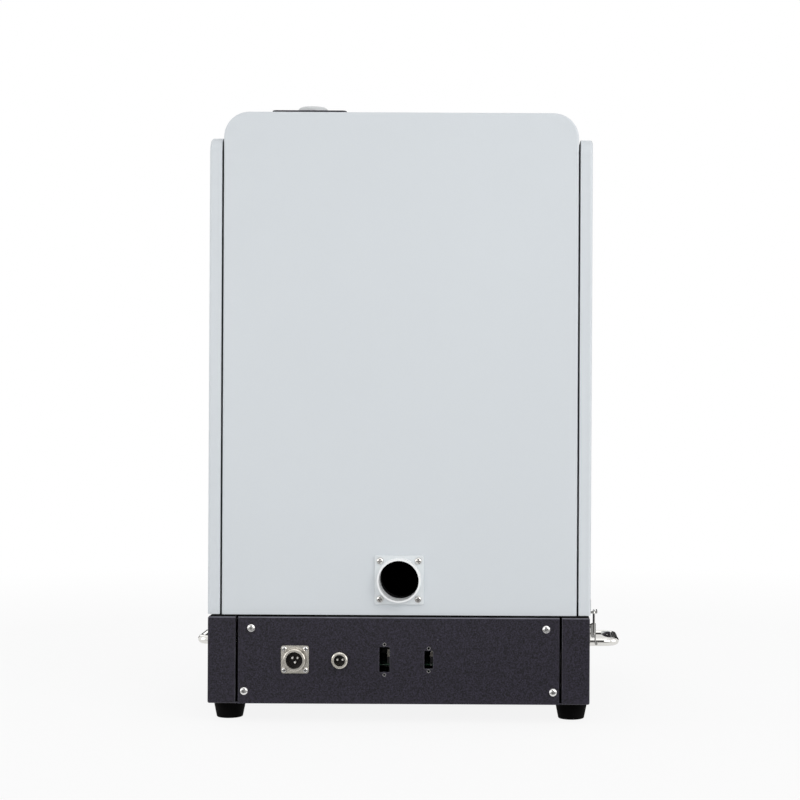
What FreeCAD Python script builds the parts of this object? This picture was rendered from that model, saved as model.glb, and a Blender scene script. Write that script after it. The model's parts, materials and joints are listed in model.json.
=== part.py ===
import FreeCAD, Part
import math
import os

# Bench reflow oven, in millimetres: +Z up, the drawer at -Y, the sockets at +Y,
# the origin on the floor under the middle of the whole oven.

V = FreeCAD.Vector
ALONG_X = V(1, 0, 0)
ALONG_Y = V(0, 1, 0)
ALONG_Z = V(0, 0, 1)

# Sheet metal and fits
SHEET = 1.5
BEND_R = 2.0
SEAM = 0.4
EASY_FIT = 0.3
RUN_FIT = 0.05
PRESS_FIT = 0.02

# Plinth
PLINTH_W = 420.0
PLINTH_D = 440.0
PLINTH_H = 95.4
COLUMN_W = 30.6
GROOVE = 2.9
JOGGLE_W = 28.0
JOGGLE_LAP = 8.0
PLATE_FOLD = 18.0
PLATE_EDGE_R = 0.6
DECK_T = 1.8
DECK_INSET = 2.0
DECK_CORNER_R = 6.0
CABLE_HOLE_R = 16.0
CABLE_HOLE_X = 60.0

# Feet
FOOT_H = 21.0
FOOT_TOP_R = 18.6
FOOT_BOTTOM_R = 14.4
FOOT_EDGE_R = 1.2
FOOT_RECESS_R = 6.5
FOOT_RECESS_H = 9.0
FOOT_IN_X = 19.0
FOOT_IN_Y = 40.0

# Button-head screws of the plinth
BUTTON_SHANK_R = 2.5
BUTTON_HEAD_R = 4.75
BUTTON_HEAD_H = 2.75
BUTTON_FLAT_R = 2.4
BUTTON_SOCKET_R = 1.73
BUTTON_SOCKET_H = 1.6
BUTTON_L = 12.0
BUTTON_HOLE_FIT = 0.15
PLATE_SCREW_TOP_IN = 14.5
PLATE_SCREW_TOP_DOWN = 12.6
PLATE_SCREW_LOW_IN = 6.8
PLATE_SCREW_LOW_UP = 13.7

# Round sockets in the rear plate
SOCKET_UP = 48.8
SOCKET_REACH = 10.0
POWER_X = 113.7
POWER_FLANGE = 30.5
POWER_FLANGE_T = 2.0
POWER_FLANGE_R = 3.0
POWER_BARREL_R = 12.0
POWER_BORE_R = 9.2
POWER_BODY_R = 10.8
POWER_BODY_L = 18.0
POWER_PIN_CIRCLE_R = 3.3
POWER_SCREW_PITCH = 23.3
SENSOR_X = 64.2
SENSOR_RING_R = 8.9
SENSOR_RING_BEVEL = 1.0
SENSOR_BORE_R = 6.2
SENSOR_BODY_R = 7.8
SENSOR_BODY_L = 16.0
SENSOR_PIN_PITCH = 5.8
SOCKET_PIN_R = 1.15
SOCKET_PIN_PROUD = 3.0
SOCKET_PIN_TAIL = 6.0
INSERT_IN = 3.0
INSERT_L = 8.0
SMALL_SHANK_R = 1.5
SMALL_HEAD_R = 3.0
SMALL_HEAD_H = 2.0
SMALL_SCREW_L = 7.0

# Cut-outs for data connectors
WIDE_PORT_X = 15.6
WIDE_PORT_W = 11.4
WIDE_PORT_H = 27.6
WIDE_PORT_PITCH = 33.3
NARROW_PORT_X = -32.9
NARROW_PORT_W = 9.6
NARROW_PORT_H = 19.5
NARROW_PORT_PITCH = 25.0
PORT_CORNER_R = 1.0
PORT_EDGE = 0.4
PORT_SCREW_R = 1.55

# Bow handles on the plinth's sides
HANDLE_ROD_R = 5.0
HANDLE_PITCH = 70.0
HANDLE_OUT = 44.0
HANDLE_BEND_R = 14.0
HANDLE_UP = 44.0
COLLAR_R = 7.0
COLLAR_L = 5.0
HANDLE_TAP_L = 12.0

# Draw latch on the left side
LATCH_IN = 30.0
LATCH_PLATE_T = 1.2
LATCH_PLATE_HALF_W = 9.0
LATCH_PIVOT_OUT = 4.4
LATCH_PIVOT_DOWN = 12.5
LATCH_PIN_R = 1.25
LATCH_EAR_R = 1.9
LATCH_EAR_IN = 3.0
LATCH_EAR_T = 1.2
LATCH_LEVER_T = 1.0
LATCH_LEVER_L = 19.0
LATCH_LEVER_TOP = 2.8
LATCH_CHEEK_L = 12.0
LATCH_CURL_R = 1.5
LATCH_CRANK = 8.0
BAIL_OUT = 5.6
BAIL_WIRE_R = 1.0
BAIL_HALF_W = 8.0
BAIL_BEND_R = 2.0
BAIL_BAR_UP = 2.5
KEEPER_T = 1.0
KEEPER_H = 15.0
KEEPER_HALF_W = 8.0
HOOK_HALF_W = 5.5
HOOK_T = 1.2
HOOK_PLAY = 1.35
HOOK_LIP_UP = 1.2

# Hood
HOOD_STEP = 14.5
HOOD_H = 553.6
HOOD_FRONT_INSET = 15.0
HOOD_REAR_INSET = 4.5
HOOD_CORNER_R = 28.0
HOOD_BEND_R = 2.0
HOOD_FLANGE = 15.0
PAN_DEPTH = 12.0
SIDE_GAP = 1.8
SIDE_PROUD = 0.9
SIDE_UP = 0.2
SIDE_H = 525.6
SIDE_TOP_R = 18.0
SIDE_MOUTH_R = 3.0
SIDE_EDGE_R = 2.8
SIDE_INNER_R = 1.2
SIDE_LIP = 12.0
SIDE_BOSS_R = 7.0
SIDE_BOSS_IN = 60.0

# Fume outlet
PORT_UP = 38.8
PORT_FLANGE = 54.1
PORT_FLANGE_T = 3.0
PORT_FLANGE_R = 2.0
PORT_TUBE_R = 24.0
PORT_WALL = 2.0
PORT_REACH = 10.0
PORT_SCREW_PITCH = 42.0
PAN_SHANK_R = 2.0
PAN_HEAD_R = 3.9
PAN_HEAD_H = 2.6
PAN_SCREW_L = 9.0

# Axial fans
FAN_SIZE = 60.0
FAN_DEPTH = 25.0
FAN_CORNER_R = 4.0
FAN_BORE_R = 28.0
FAN_HUB_R = 13.0
FAN_HUB_PLATE = 3.0
FAN_STRUT = 4.0
FAN_HOLE_PITCH = 50.0
FAN_HOLE_R = 2.15
FAN_BLADE_TIP_R = 25.0
FAN_BLADE_CHORD = 15.0
FAN_BLADE_T = 1.2
FAN_BLADES = 7
FAN_SPINDLE_R = 3.0
FAN_END_GAP = 0.5

# Chamber
CHEEK_SPACE = 20.8
SLIDE_CLEAR = 1.8
INSULATION_T = 20.0
LINER_T = 1.2
LINER_FLANGE = 16.0
LINER_BEHIND = 0.5
CHAMBER_D = 300.0
CHAMBER_H = 160.0
SHELF_UP = 182.5
SHELF_W = 30.0
CHEEK_FOOT_W = 20.0
BRIDGE_OVER = 28.0
BRIDGE_T = 2.0
BRIDGE_D = 110.0
OUTLET_R = 20.0
OUTLET_UP = 40.0
DUCT_W = 64.0
DUCT_D = 34.0
DUCT_T = 1.0
DUCT_OVER = 14.0

# Heating and air circulation
TUBE_R = 5.0
TUBE_UP_HIGH = 113.0
TUBE_UP_LOW = 24.0
HIGH_TUBES = 4
LOW_TUBES = 3
TUBE_SPREAD = 210.0
CAP_R = 9.0
CAP_L = 10.0
CAP_SOCKET = 6.0
DIFFUSER_DOWN = 34.0
DIFFUSER_FOLD = 10.0
DIFFUSER_HOLE_R = 6.0
DIFFUSER_COLUMNS = 8
DIFFUSER_ROWS = 9
DIFFUSER_PITCH = 30.0
SHAFT_R = 4.0
SHAFT_HOLE_R = 7.0
IMPELLER_R = 72.0
IMPELLER_DISC = 1.5
IMPELLER_H = 18.0
IMPELLER_EYE_R = 34.0
IMPELLER_VANES = 10
IMPELLER_VANE_T = 1.2
IMPELLER_HUB_R = 11.0
IMPELLER_ROOF_GAP = 5.0
MOTOR_R = 33.0
MOTOR_H = 52.0
MOTOR_LID_R = 24.0
MOTOR_LID_H = 8.0
MOTOR_FLANGE_R = 42.0
MOTOR_FLANGE_T = 3.0
MOTOR_BORE_L = 24.0
PROBE_R = 1.5
PROBE_L = 60.0
PROBE_X = 60.0
PROBE_UP = 94.0
GLAND_R = 5.0
GLAND_L = 26.0

# Top vent
VENT_X = 105.0
VENT_SIZE = 83.0
VENT_CORNER_R = 5.0
VENT_H = 6.3
VENT_BACK_IN = 30.0
VENT_SLOTS = 6
VENT_SLOT_DEG = 26.0
VENT_SLOT_IN_R = 20.5
VENT_SLOT_OUT_R = 33.0
SHUTTER_T = 1.2
SHUTTER_R = 35.5
SHUTTER_PLAY = 0.3
VENT_SPINDLE_R = 4.0
DIAL_R = 17.2
DIAL_H = 8.7
DIAL_EDGE_R = 5.0
DIAL_FLUTES = 18
DIAL_FLUTE_R = 1.6

# Drawer
DRAWER_W = 364.0
DRAWER_H = 204.0
DRAWER_T = 22.0
DRAWER_GAP = 1.0
DRAWER_CORNER_R = 6.0
DRAWER_EDGE_R = 3.0
DRAWER_BACK_T = 1.2
OPENING_W = 350.0
OPENING_H = 188.0
OPENING_R = 6.0
WINDOW_W = 200.0
WINDOW_H = 84.0
WINDOW_R = 8.0
GLASS_T = 4.0
GLASS_LAP = 8.0
GRIP_R = 7.0
GRIP_L = 230.0
GRIP_PITCH = 190.0
GRIP_POST_R = 5.0
GRIP_OUT = 38.0
GRIP_UP = 74.0
GASKET_W = 9.0
GASKET_IN = 2.0
TRAY_IN = 15.0
TRAY_D = 270.0
TRAY_BAR = 6.0
TRAY_WIRE_R = 1.5
TRAY_WIRES = 11
TRAY_UP = 68.0
SLIDE_L = 300.0
SLIDE_H = 45.0
SLIDE_W = 12.0
SLIDE_LIP = 6.0
SLIDE_PLAY = 0.6

# Hood front: vents and controls
LOUVRE_W = 70.0
LOUVRE_H = 5.0
LOUVRE_PITCH_X = 90.0
LOUVRE_PITCH_Z = 16.0
LOUVRE_COLUMNS = 3
LOUVRE_ROWS = 6
LOUVRE_UP = 92.0
FASCIA_W = 336.0
FASCIA_H = 96.0
FASCIA_T = 3.0
FASCIA_R = 6.0
FASCIA_LAP = 7.0
FASCIA_DOWN = 84.0
SCREEN_IN = 76.0
SCREEN_W = 118.0
SCREEN_H = 70.0
SCREEN_LAP = 4.0
SCREEN_BACK = 9.0
KEY_ASIDE = 1.0
KEY_PITCH = 44.0
KEY_R = 9.0
KEY_PROUD = 4.0
KEY_FLANGE_R = 11.0
KEY_FLANGE_T = 1.5
KEY_TRAVEL = 2.0
KEY_STOP_GAP = 0.2
KNOB_IN = 106.0
KNOB_R = 19.0
KNOB_H = 18.0
KNOB_EDGE_R = 2.0
KNOB_FLUTES = 20
KNOB_FLUTE_R = 1.5
KNOB_SHAFT_R = 3.0
KNOB_SHAFT_L = 14.0
STOP_IN = 42.0
STOP_CAP_R = 19.0
STOP_CAP_H = 9.0
STOP_CAP_EDGE_R = 4.0
STOP_STEM_R = 11.0
STOP_COLLAR_R = 22.0
STOP_COLLAR_H = 5.0
STOP_TRAVEL = 5.0
STOP_CAP_GAP = 6.0

# Mains rocker switch in the plinth's front plate
SWITCH_X = 118.0
SWITCH_BEZEL_W = 26.0
SWITCH_BEZEL_H = 36.0
SWITCH_BEZEL_T = 2.5
SWITCH_BEZEL_R = 2.0
SWITCH_WALL = 2.2
SWITCH_LIP = 2.0
SWITCH_BODY_L = 24.0
ROCKER_R = 12.6
ROCKER_FRONT = 6.5
ROCKER_BACK = 3.0
ROCKER_TILT = 9.0
ROCKER_PIVOT_IN = 4.0
ROCKER_SIDE_GAP = 0.3
ROCKER_PIN_R = 1.5
ROCKER_PIN_L = 1.0

# Electronics in the plinth
SUPPLY_X = 70.0
SUPPLY_W = 98.0
SUPPLY_D = 160.0
SUPPLY_H = 38.0
SUPPLY_FROM_FRONT = 90.0
SUPPLY_SLOT_W = 3.0
SUPPLY_SLOTS = 14
BOARD_X = -2.0
BOARD_W = 116.0
BOARD_D = 120.0
BOARD_T = 1.6
BOARD_FROM_REAR = 34.0
STUD_R = 3.0
STUD_H = 36.0
STUD_IN = 6.0
CONNECTOR_W = 26.0
CONNECTOR_D = 11.0
CONNECTOR_H = 16.0
CONNECTOR_IN = 5.0
CONNECTOR_OFF = 4.0
CONNECTOR_PITCH = 48.0
CHIP_W = 24.0
CHIP_H = 4.0
CHIP_IN = 48.0
COIL_W = 28.0
COIL_D = 32.0
COIL_H = 22.0
COIL_OFF = 34.0
COIL_IN = 76.0
CAPACITOR_R = 5.0
CAPACITOR_H = 16.0
CAPACITOR_PITCH = 13.0
CAPACITOR_OFF = -44.0
CAPACITOR_IN = 96.0
CAPACITORS = 4
LEAD_IN = 0.5
RELAY_W = 44.0
RELAY_D = 58.0
RELAY_H = 24.0
RELAY_X = -130.0
RELAY_PITCH = 70.0
COOLER_X = -120.0
COOLER_FROM_FRONT = 80.0
GUARD_HOLE_R = 4.0
GUARD_RING_R = 20.5
GUARD_HOLES = 12

# Heights
PLINTH_Z0 = FOOT_H
PLINTH_Z1 = PLINTH_Z0 + PLINTH_H
FLOOR_Z = PLINTH_Z0 + SHEET
HOOD_Z0 = PLINTH_Z1 + DECK_T
HOOD_Z1 = HOOD_Z0 + HOOD_H
SIDE_Z0 = HOOD_Z0 + SIDE_UP
SIDE_Z1 = SIDE_Z0 + SIDE_H
SOCKET_Z = PLINTH_Z0 + SOCKET_UP
HANDLE_Z = PLINTH_Z0 + HANDLE_UP
PORT_Z = HOOD_Z0 + PORT_UP
SHELF_Z = HOOD_Z0 + SHELF_UP
LINER_Z0 = SHELF_Z + INSULATION_T
LINER_Z1 = LINER_Z0 + CHAMBER_H + 2 * LINER_T
CHAMBER_Z0 = LINER_Z0 + LINER_T
CHAMBER_Z1 = LINER_Z1 - LINER_T
CHAMBER_MID = (LINER_Z0 + LINER_Z1) / 2
BRIDGE_Z = LINER_Z1 + INSULATION_T + BRIDGE_OVER
FASCIA_Z = HOOD_Z1 - FASCIA_DOWN
TRAY_Z = CHAMBER_Z0 + TRAY_UP

# Depths: the whole oven is centred on Y, from the drawer's grip to the sockets
FRONT_REACH = DRAWER_GAP + DRAWER_T + GRIP_OUT - HOOD_FRONT_INSET
REAR_Y = PLINTH_D / 2 + (FRONT_REACH - SOCKET_REACH) / 2
FRONT_Y = REAR_Y - PLINTH_D
MIDDLE_Y = (FRONT_Y + REAR_Y) / 2
HOOD_REAR = REAR_Y - HOOD_REAR_INSET
HOOD_FRONT = FRONT_Y + HOOD_FRONT_INSET
DRAWER_BACK = HOOD_FRONT - DRAWER_GAP
DRAWER_FACE = DRAWER_BACK - DRAWER_T
LINER_Y0 = HOOD_FRONT + SHEET + LINER_BEHIND
LINER_Y1 = LINER_Y0 + CHAMBER_D + LINER_T
INSULATION_Y1 = LINER_Y1 + INSULATION_T
DUCT_Y1 = INSULATION_Y1 + DUCT_D
FAN_Y1 = DUCT_Y1 + FAN_DEPTH
SLIDE_Y0 = LINER_Y0 + 2 * LINER_T
FASCIA_FACE = HOOD_FRONT - FASCIA_T
LATCH_Y = REAR_Y - LATCH_IN
CHAMBER_Y = (LINER_Y0 + LINER_Y1) / 2

# Half widths
PLINTH_X = PLINTH_W / 2
PLATE_X = PLINTH_X - COLUMN_W - GROOVE
HOOD_X = PLINTH_X - HOOD_STEP
SIDE_X0 = HOOD_X + SIDE_GAP
SIDE_X1 = PLINTH_X + SIDE_PROUD
CHEEK_X1 = HOOD_X - SHEET - CHEEK_SPACE
CHEEK_X0 = CHEEK_X1 - SHEET
INSULATION_X = CHEEK_X0 - SLIDE_W - SLIDE_CLEAR
LINER_X = INSULATION_X - INSULATION_T
CHAMBER_X = LINER_X - LINER_T
TRAY_X = CHAMBER_X - TRAY_IN
FASCIA_X = FASCIA_W / 2
SCREEN_X = SCREEN_IN - FASCIA_X
SCREEN_X1 = SCREEN_X + SCREEN_W / 2 + SCREEN_LAP
KNOB_X = FASCIA_X - KNOB_IN
KEY_X = (SCREEN_X1 + KNOB_X - KNOB_R) / 2 + KEY_ASIDE
STOP_X = FASCIA_X - STOP_IN


# Shared shapes
def box(x0, x1, y0, y1, z0, z1):
    return Part.makeBox(x1 - x0, y1 - y0, z1 - z0, V(x0, y0, z0))


def rod(x, y, z, along, radius, length):
    return Part.makeCylinder(radius, length, V(x, y, z), along)


def span(shape, along):
    bounds = shape.BoundBox
    if along == ALONG_X:
        return bounds.XMin, bounds.XMax
    if along == ALONG_Y:
        return bounds.YMin, bounds.YMax
    return bounds.ZMin, bounds.ZMax


def lies_at(edge, along, value):
    low, high = span(edge, along)
    return abs(low - value) < 0.001 and abs(high - value) < 0.001


def runs_along(edge, along):
    straight = edge.Curve.TypeId == "Part::GeomLine"
    return straight and abs(edge.tangentAt(edge.FirstParameter).dot(along)) > 0.999


def round_edges(shape, radius, chosen):
    return shape.makeFillet(radius, [edge for edge in shape.Edges if chosen(edge)])


def rounded_box(x0, x1, y0, y1, z0, z1, along, radius):
    """A box whose four edges along one axis are rounded."""
    return round_edges(box(x0, x1, y0, y1, z0, z1), radius, lambda edge: runs_along(edge, along))


def arch(half_w, y0, y1, z0, z1, top_r):
    """The hood's outline, with large round corners on top, as a block along Y."""
    block = box(-half_w, half_w, y0, y1, z0, z1)
    return round_edges(block, top_r, lambda edge: runs_along(edge, ALONG_Y) and lies_at(edge, ALONG_Z, z1))


def ring(x, y, z, along, outer_r, inner_r, length):
    return rod(x, y, z, along, outer_r, length).cut(rod(x, y, z, along, inner_r, length))


def mirrored(shape):
    return shape.mirror(V(0, 0, 0), ALONG_X)


def pair(shape):
    """A piece and its mirror image on the other side."""
    return Part.makeCompound([shape, mirrored(shape)])


def aimed(shape, place, toward):
    """A copy of a shape made along +Z, set at a place and turned to a direction."""
    copy = shape.copy()
    copy.Placement = FreeCAD.Placement(place, FreeCAD.Rotation(ALONG_Z, toward))
    return copy


def turned(shape, centre, along, degrees):
    copy = shape.copy()
    copy.rotate(centre, along, degrees)
    return copy


def square_corners(pitch):
    half = pitch / 2
    return [(a, b) for a in (-half, half) for b in (-half, half)]


def bent_rod(points, bend_r, rod_r):
    """A round rod through corner points, with a bend of one radius at each inner corner."""
    edges = []
    start = points[0]
    for before, corner, after in zip(points, points[1:], points[2:]):
        back = (before - corner).normalize()
        ahead = (after - corner).normalize()
        half = back.getAngle(ahead) / 2
        inward = (back + ahead).normalize()
        first = corner + back * (bend_r / math.tan(half))
        last = corner + ahead * (bend_r / math.tan(half))
        middle = corner + inward * (bend_r / math.sin(half) - bend_r)
        edges.append(Part.makeLine(start, first))
        edges.append(Part.Arc(first, middle, last).toShape())
        start = last
    edges.append(Part.makeLine(start, points[-1]))
    section = Part.Wire([Part.makeCircle(rod_r, points[0], points[1] - points[0])])
    return Part.Wire(edges).makePipeShell([section], True, True)


def domed_screw(shank_r, head_r, head_h, flat_r, length):
    """A screw along +Z with a domed head over a seat at z = 0."""
    rim = V(head_r, 0, 0)
    crown = V(flat_r, 0, head_h)
    bulge = V((head_r + flat_r) / 2 + 0.22 * head_h, 0, 0.62 * head_h)
    outline = [
        Part.makeLine(V(0, 0, -length), V(shank_r, 0, -length)),
        Part.makeLine(V(shank_r, 0, -length), V(shank_r, 0, 0)),
        Part.makeLine(V(shank_r, 0, 0), rim),
        Part.Arc(rim, bulge, crown).toShape(),
        Part.makeLine(crown, V(0, 0, head_h)),
        Part.makeLine(V(0, 0, head_h), V(0, 0, -length)),
    ]
    return Part.Face(Part.Wire(outline)).revolve(V(0, 0, 0), ALONG_Z, 360)


def button_screw():
    screw = domed_screw(BUTTON_SHANK_R, BUTTON_HEAD_R, BUTTON_HEAD_H, BUTTON_FLAT_R, BUTTON_L)
    corners = []
    for step in range(7):
        angle = math.radians(60 * step)
        low = BUTTON_HEAD_H - BUTTON_SOCKET_H
        corners.append(V(BUTTON_SOCKET_R * math.cos(angle), BUTTON_SOCKET_R * math.sin(angle), low))
    socket = Part.Face(Part.makePolygon(corners)).extrude(ALONG_Z * BUTTON_HEAD_H)
    return screw.cut(socket)


def cross_screw(shank_r, head_r, head_h, length):
    """A pan-head screw with a cross recess."""
    screw = domed_screw(shank_r, head_r, head_h, 0.45 * head_r, length)
    arm = 0.55 * head_r
    blade = 0.13 * head_r
    for half_x, half_y in ((arm, blade), (blade, arm)):
        screw = screw.cut(box(-half_x, half_x, -half_y, half_y, 0.45 * head_h, 2 * head_h))
    return screw


# Plinth
def plate_screw_places(face_y):
    top_x = PLATE_X - PLATE_SCREW_TOP_IN
    low_x = PLATE_X - PLATE_SCREW_LOW_IN
    top_z = PLINTH_Z1 - PLATE_SCREW_TOP_DOWN
    low_z = PLINTH_Z0 + PLATE_SCREW_LOW_UP
    return [V(x, face_y, z) for x, z in ((-top_x, top_z), (top_x, top_z), (-low_x, low_z), (low_x, low_z))]


def foot_places():
    x = PLINTH_X - FOOT_IN_X
    return [V(side * x, y, 0) for side in (-1, 1) for y in (FRONT_Y + FOOT_IN_Y, REAR_Y - FOOT_IN_Y)]


def handle_leg_places():
    return [V(PLINTH_X, MIDDLE_Y + side * HANDLE_PITCH / 2, HANDLE_Z) for side in (-1, 1)]


def stud_places():
    x0 = BOARD_X - BOARD_W / 2 + STUD_IN
    x1 = BOARD_X + BOARD_W / 2 - STUD_IN
    y1 = REAR_Y - BOARD_FROM_REAR - STUD_IN
    y0 = REAR_Y - BOARD_FROM_REAR - BOARD_D + STUD_IN
    return [V(x, y, FLOOR_Z) for x in (x0, x1) for y in (y0, y1)]


def plinth_pan():
    outer = box(-PLINTH_X, PLINTH_X, FRONT_Y, REAR_Y, PLINTH_Z0, PLINTH_Z1)
    outer = outer.makeFillet(BEND_R, outer.Edges)
    inner_x = PLINTH_X - SHEET
    pan = outer.cut(box(-inner_x, inner_x, FRONT_Y + SHEET, REAR_Y - SHEET, FLOOR_Z, PLINTH_Z1 - SHEET))
    gap = PLINTH_X - COLUMN_W
    pan = pan.cut(box(-gap, gap, FRONT_Y, REAR_Y, PLINTH_Z1 - SHEET, PLINTH_Z1))
    pan = pan.cut(box(-gap, gap, REAR_Y - SHEET, REAR_Y, PLINTH_Z0, PLINTH_Z1))
    pan = pan.cut(box(-gap, gap, FRONT_Y, FRONT_Y + SHEET, PLINTH_Z0, PLINTH_Z1))
    strips = []
    for y in (FRONT_Y + SHEET, REAR_Y - 2 * SHEET):
        strip = box(gap - JOGGLE_W, gap + JOGGLE_LAP, y, y + SHEET, FLOOR_Z, PLINTH_Z1 - SHEET)
        strips.extend([strip, mirrored(strip)])
    studs = [rod(place.x, place.y, place.z, ALONG_Z, STUD_R, STUD_H) for place in stud_places()]
    pan = pan.multiFuse(strips + studs)
    for y in (FRONT_Y + SHEET, REAR_Y - 2 * SHEET):
        slot = box(PLATE_X, gap, y, y + SHEET, FLOOR_Z, PLINTH_Z1 - SHEET)
        pan = pan.cut([slot, mirrored(slot)])
    hole_r = BUTTON_SHANK_R + BUTTON_HOLE_FIT
    holes = []
    for y in (FRONT_Y, REAR_Y):
        for place in plate_screw_places(y - 3 * SHEET):
            holes.append(rod(place.x, place.y, place.z, ALONG_Y, hole_r, 6 * SHEET))
    for place in foot_places():
        holes.append(rod(place.x, place.y, PLINTH_Z0 - SHEET, ALONG_Z, hole_r, 3 * SHEET))
    for place in handle_leg_places():
        hole = rod(place.x - 2 * SHEET, place.y, place.z, ALONG_X, hole_r, 4 * SHEET)
        holes.extend([hole, mirrored(hole)])
    cooler = V(COOLER_X, FRONT_Y + COOLER_FROM_FRONT, PLINTH_Z0 - SHEET)
    for step in range(GUARD_HOLES):
        hole = rod(cooler.x + GUARD_RING_R, cooler.y, cooler.z, ALONG_Z, GUARD_HOLE_R, 3 * SHEET)
        holes.append(turned(hole, cooler, ALONG_Z, 360 / GUARD_HOLES * step))
    return pan.cut(holes)


def deck_plate():
    half = HOOD_X - DECK_INSET
    y0 = HOOD_FRONT + DECK_INSET
    y1 = HOOD_REAR - DECK_INSET
    deck = rounded_box(-half, half, y0, y1, PLINTH_Z1, HOOD_Z0, ALONG_Z, DECK_CORNER_R)
    for side in (-1, 1):
        deck = deck.cut(rod(side * CABLE_HOLE_X, MIDDLE_Y, PLINTH_Z1, ALONG_Z, CABLE_HOLE_R, DECK_T))
    return deck


def plate_blank(face_y, inward):
    """A plinth end plate with its top edge folded over, screw holes cut."""
    back_y = face_y + inward * SHEET
    fold_y = face_y + inward * PLATE_FOLD
    low_y, high_y = sorted((face_y, back_y))
    low_fold, high_fold = sorted((face_y, fold_y))
    plate = box(-PLATE_X, PLATE_X, low_y, high_y, PLINTH_Z0, PLINTH_Z1)
    fold = box(-PLATE_X, PLATE_X, low_fold, high_fold, PLINTH_Z1 - SHEET, PLINTH_Z1)
    plate = plate.fuse(fold).removeSplitter()
    plate = round_edges(
        plate, BEND_R, lambda edge: lies_at(edge, ALONG_Y, face_y) and lies_at(edge, ALONG_Z, PLINTH_Z1)
    )
    upright = lambda edge: runs_along(edge, ALONG_Z) and lies_at(edge, ALONG_Y, face_y)
    plate = round_edges(plate, PLATE_EDGE_R, upright)
    hole_r = BUTTON_SHANK_R + BUTTON_HOLE_FIT
    for place in plate_screw_places(low_y):
        plate = plate.cut(rod(place.x, place.y, place.z, ALONG_Y, hole_r, SHEET))
    return plate


def port_cut(x, width, height, pitch):
    """A connector's upright cut-out with its two screw holes."""
    y0 = REAR_Y - SHEET
    window = rounded_box(
        x - width / 2, x + width / 2, y0, REAR_Y, SOCKET_Z - height / 2, SOCKET_Z + height / 2,
        ALONG_Y, PORT_CORNER_R
    )
    screws = [rod(x, y0, SOCKET_Z + side * pitch / 2, ALONG_Y, PORT_SCREW_R, SHEET) for side in (-1, 1)]
    return [window] + screws


def power_screw_places():
    return [V(POWER_X + a, REAR_Y, SOCKET_Z + b) for a, b in square_corners(POWER_SCREW_PITCH)]


def rear_plate():
    y0 = REAR_Y - SHEET
    cuts = port_cut(WIDE_PORT_X, WIDE_PORT_W, WIDE_PORT_H, WIDE_PORT_PITCH)
    cuts += port_cut(NARROW_PORT_X, NARROW_PORT_W, NARROW_PORT_H, NARROW_PORT_PITCH)
    cuts.append(rod(POWER_X, y0, SOCKET_Z, ALONG_Y, POWER_BODY_R + EASY_FIT, SHEET))
    cuts.append(rod(SENSOR_X, y0, SOCKET_Z, ALONG_Y, SENSOR_BODY_R + EASY_FIT, SHEET))
    for place in power_screw_places():
        cuts.append(rod(place.x, y0, place.z, ALONG_Y, SMALL_SHANK_R + BUTTON_HOLE_FIT, SHEET))
    plate = plate_blank(REAR_Y, -1).cut(cuts)
    ports = ((WIDE_PORT_X, WIDE_PORT_W, WIDE_PORT_H), (NARROW_PORT_X, NARROW_PORT_W, NARROW_PORT_H))
    return plate.makeChamfer(PORT_EDGE, [edge for edge in plate.Edges if on_port_rim(edge, ports)])


def on_port_rim(edge, ports):
    """True for the rear edges of the connector cut-outs."""
    if not lies_at(edge, ALONG_Y, REAR_Y):
        return False
    middle = edge.BoundBox.Center
    for x, width, height in ports:
        if abs(middle.x - x) <= width / 2 and abs(middle.z - SOCKET_Z) <= height / 2:
            return True
    return False


def front_plate():
    half_w = SWITCH_BEZEL_W / 2 - SWITCH_LIP + EASY_FIT
    half_h = SWITCH_BEZEL_H / 2 - SWITCH_LIP + EASY_FIT
    window = box(
        SWITCH_X - half_w, SWITCH_X + half_w, FRONT_Y, FRONT_Y + SHEET, SOCKET_Z - half_h, SOCKET_Z + half_h
    )
    return plate_blank(FRONT_Y, 1).cut(window)


def button_screws():
    screw = button_screw()
    screws = [aimed(screw, place, ALONG_Y) for place in plate_screw_places(REAR_Y)]
    screws += [aimed(screw, place, -ALONG_Y) for place in plate_screw_places(FRONT_Y)]
    for place in foot_places():
        screws.append(aimed(screw, V(place.x, place.y, FOOT_RECESS_H), -ALONG_Z))
    for place in handle_leg_places():
        inner = V(place.x - SHEET, place.y, place.z)
        screw_in = aimed(screw, inner, -ALONG_X)
        screws.extend([screw_in, mirrored(screw_in)])
    return Part.makeCompound(screws)


def rubber_feet():
    foot = Part.makeCone(FOOT_BOTTOM_R, FOOT_TOP_R, FOOT_H)
    foot = round_edges(foot, FOOT_EDGE_R, lambda edge: lies_at(edge, ALONG_Z, 0))
    foot = foot.cut(rod(0, 0, 0, ALONG_Z, FOOT_RECESS_R, FOOT_RECESS_H))
    foot = foot.cut(rod(0, 0, 0, ALONG_Z, BUTTON_SHANK_R + BUTTON_HOLE_FIT, FOOT_H))
    return Part.makeCompound([aimed(foot, place, ALONG_Z) for place in foot_places()])


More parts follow.
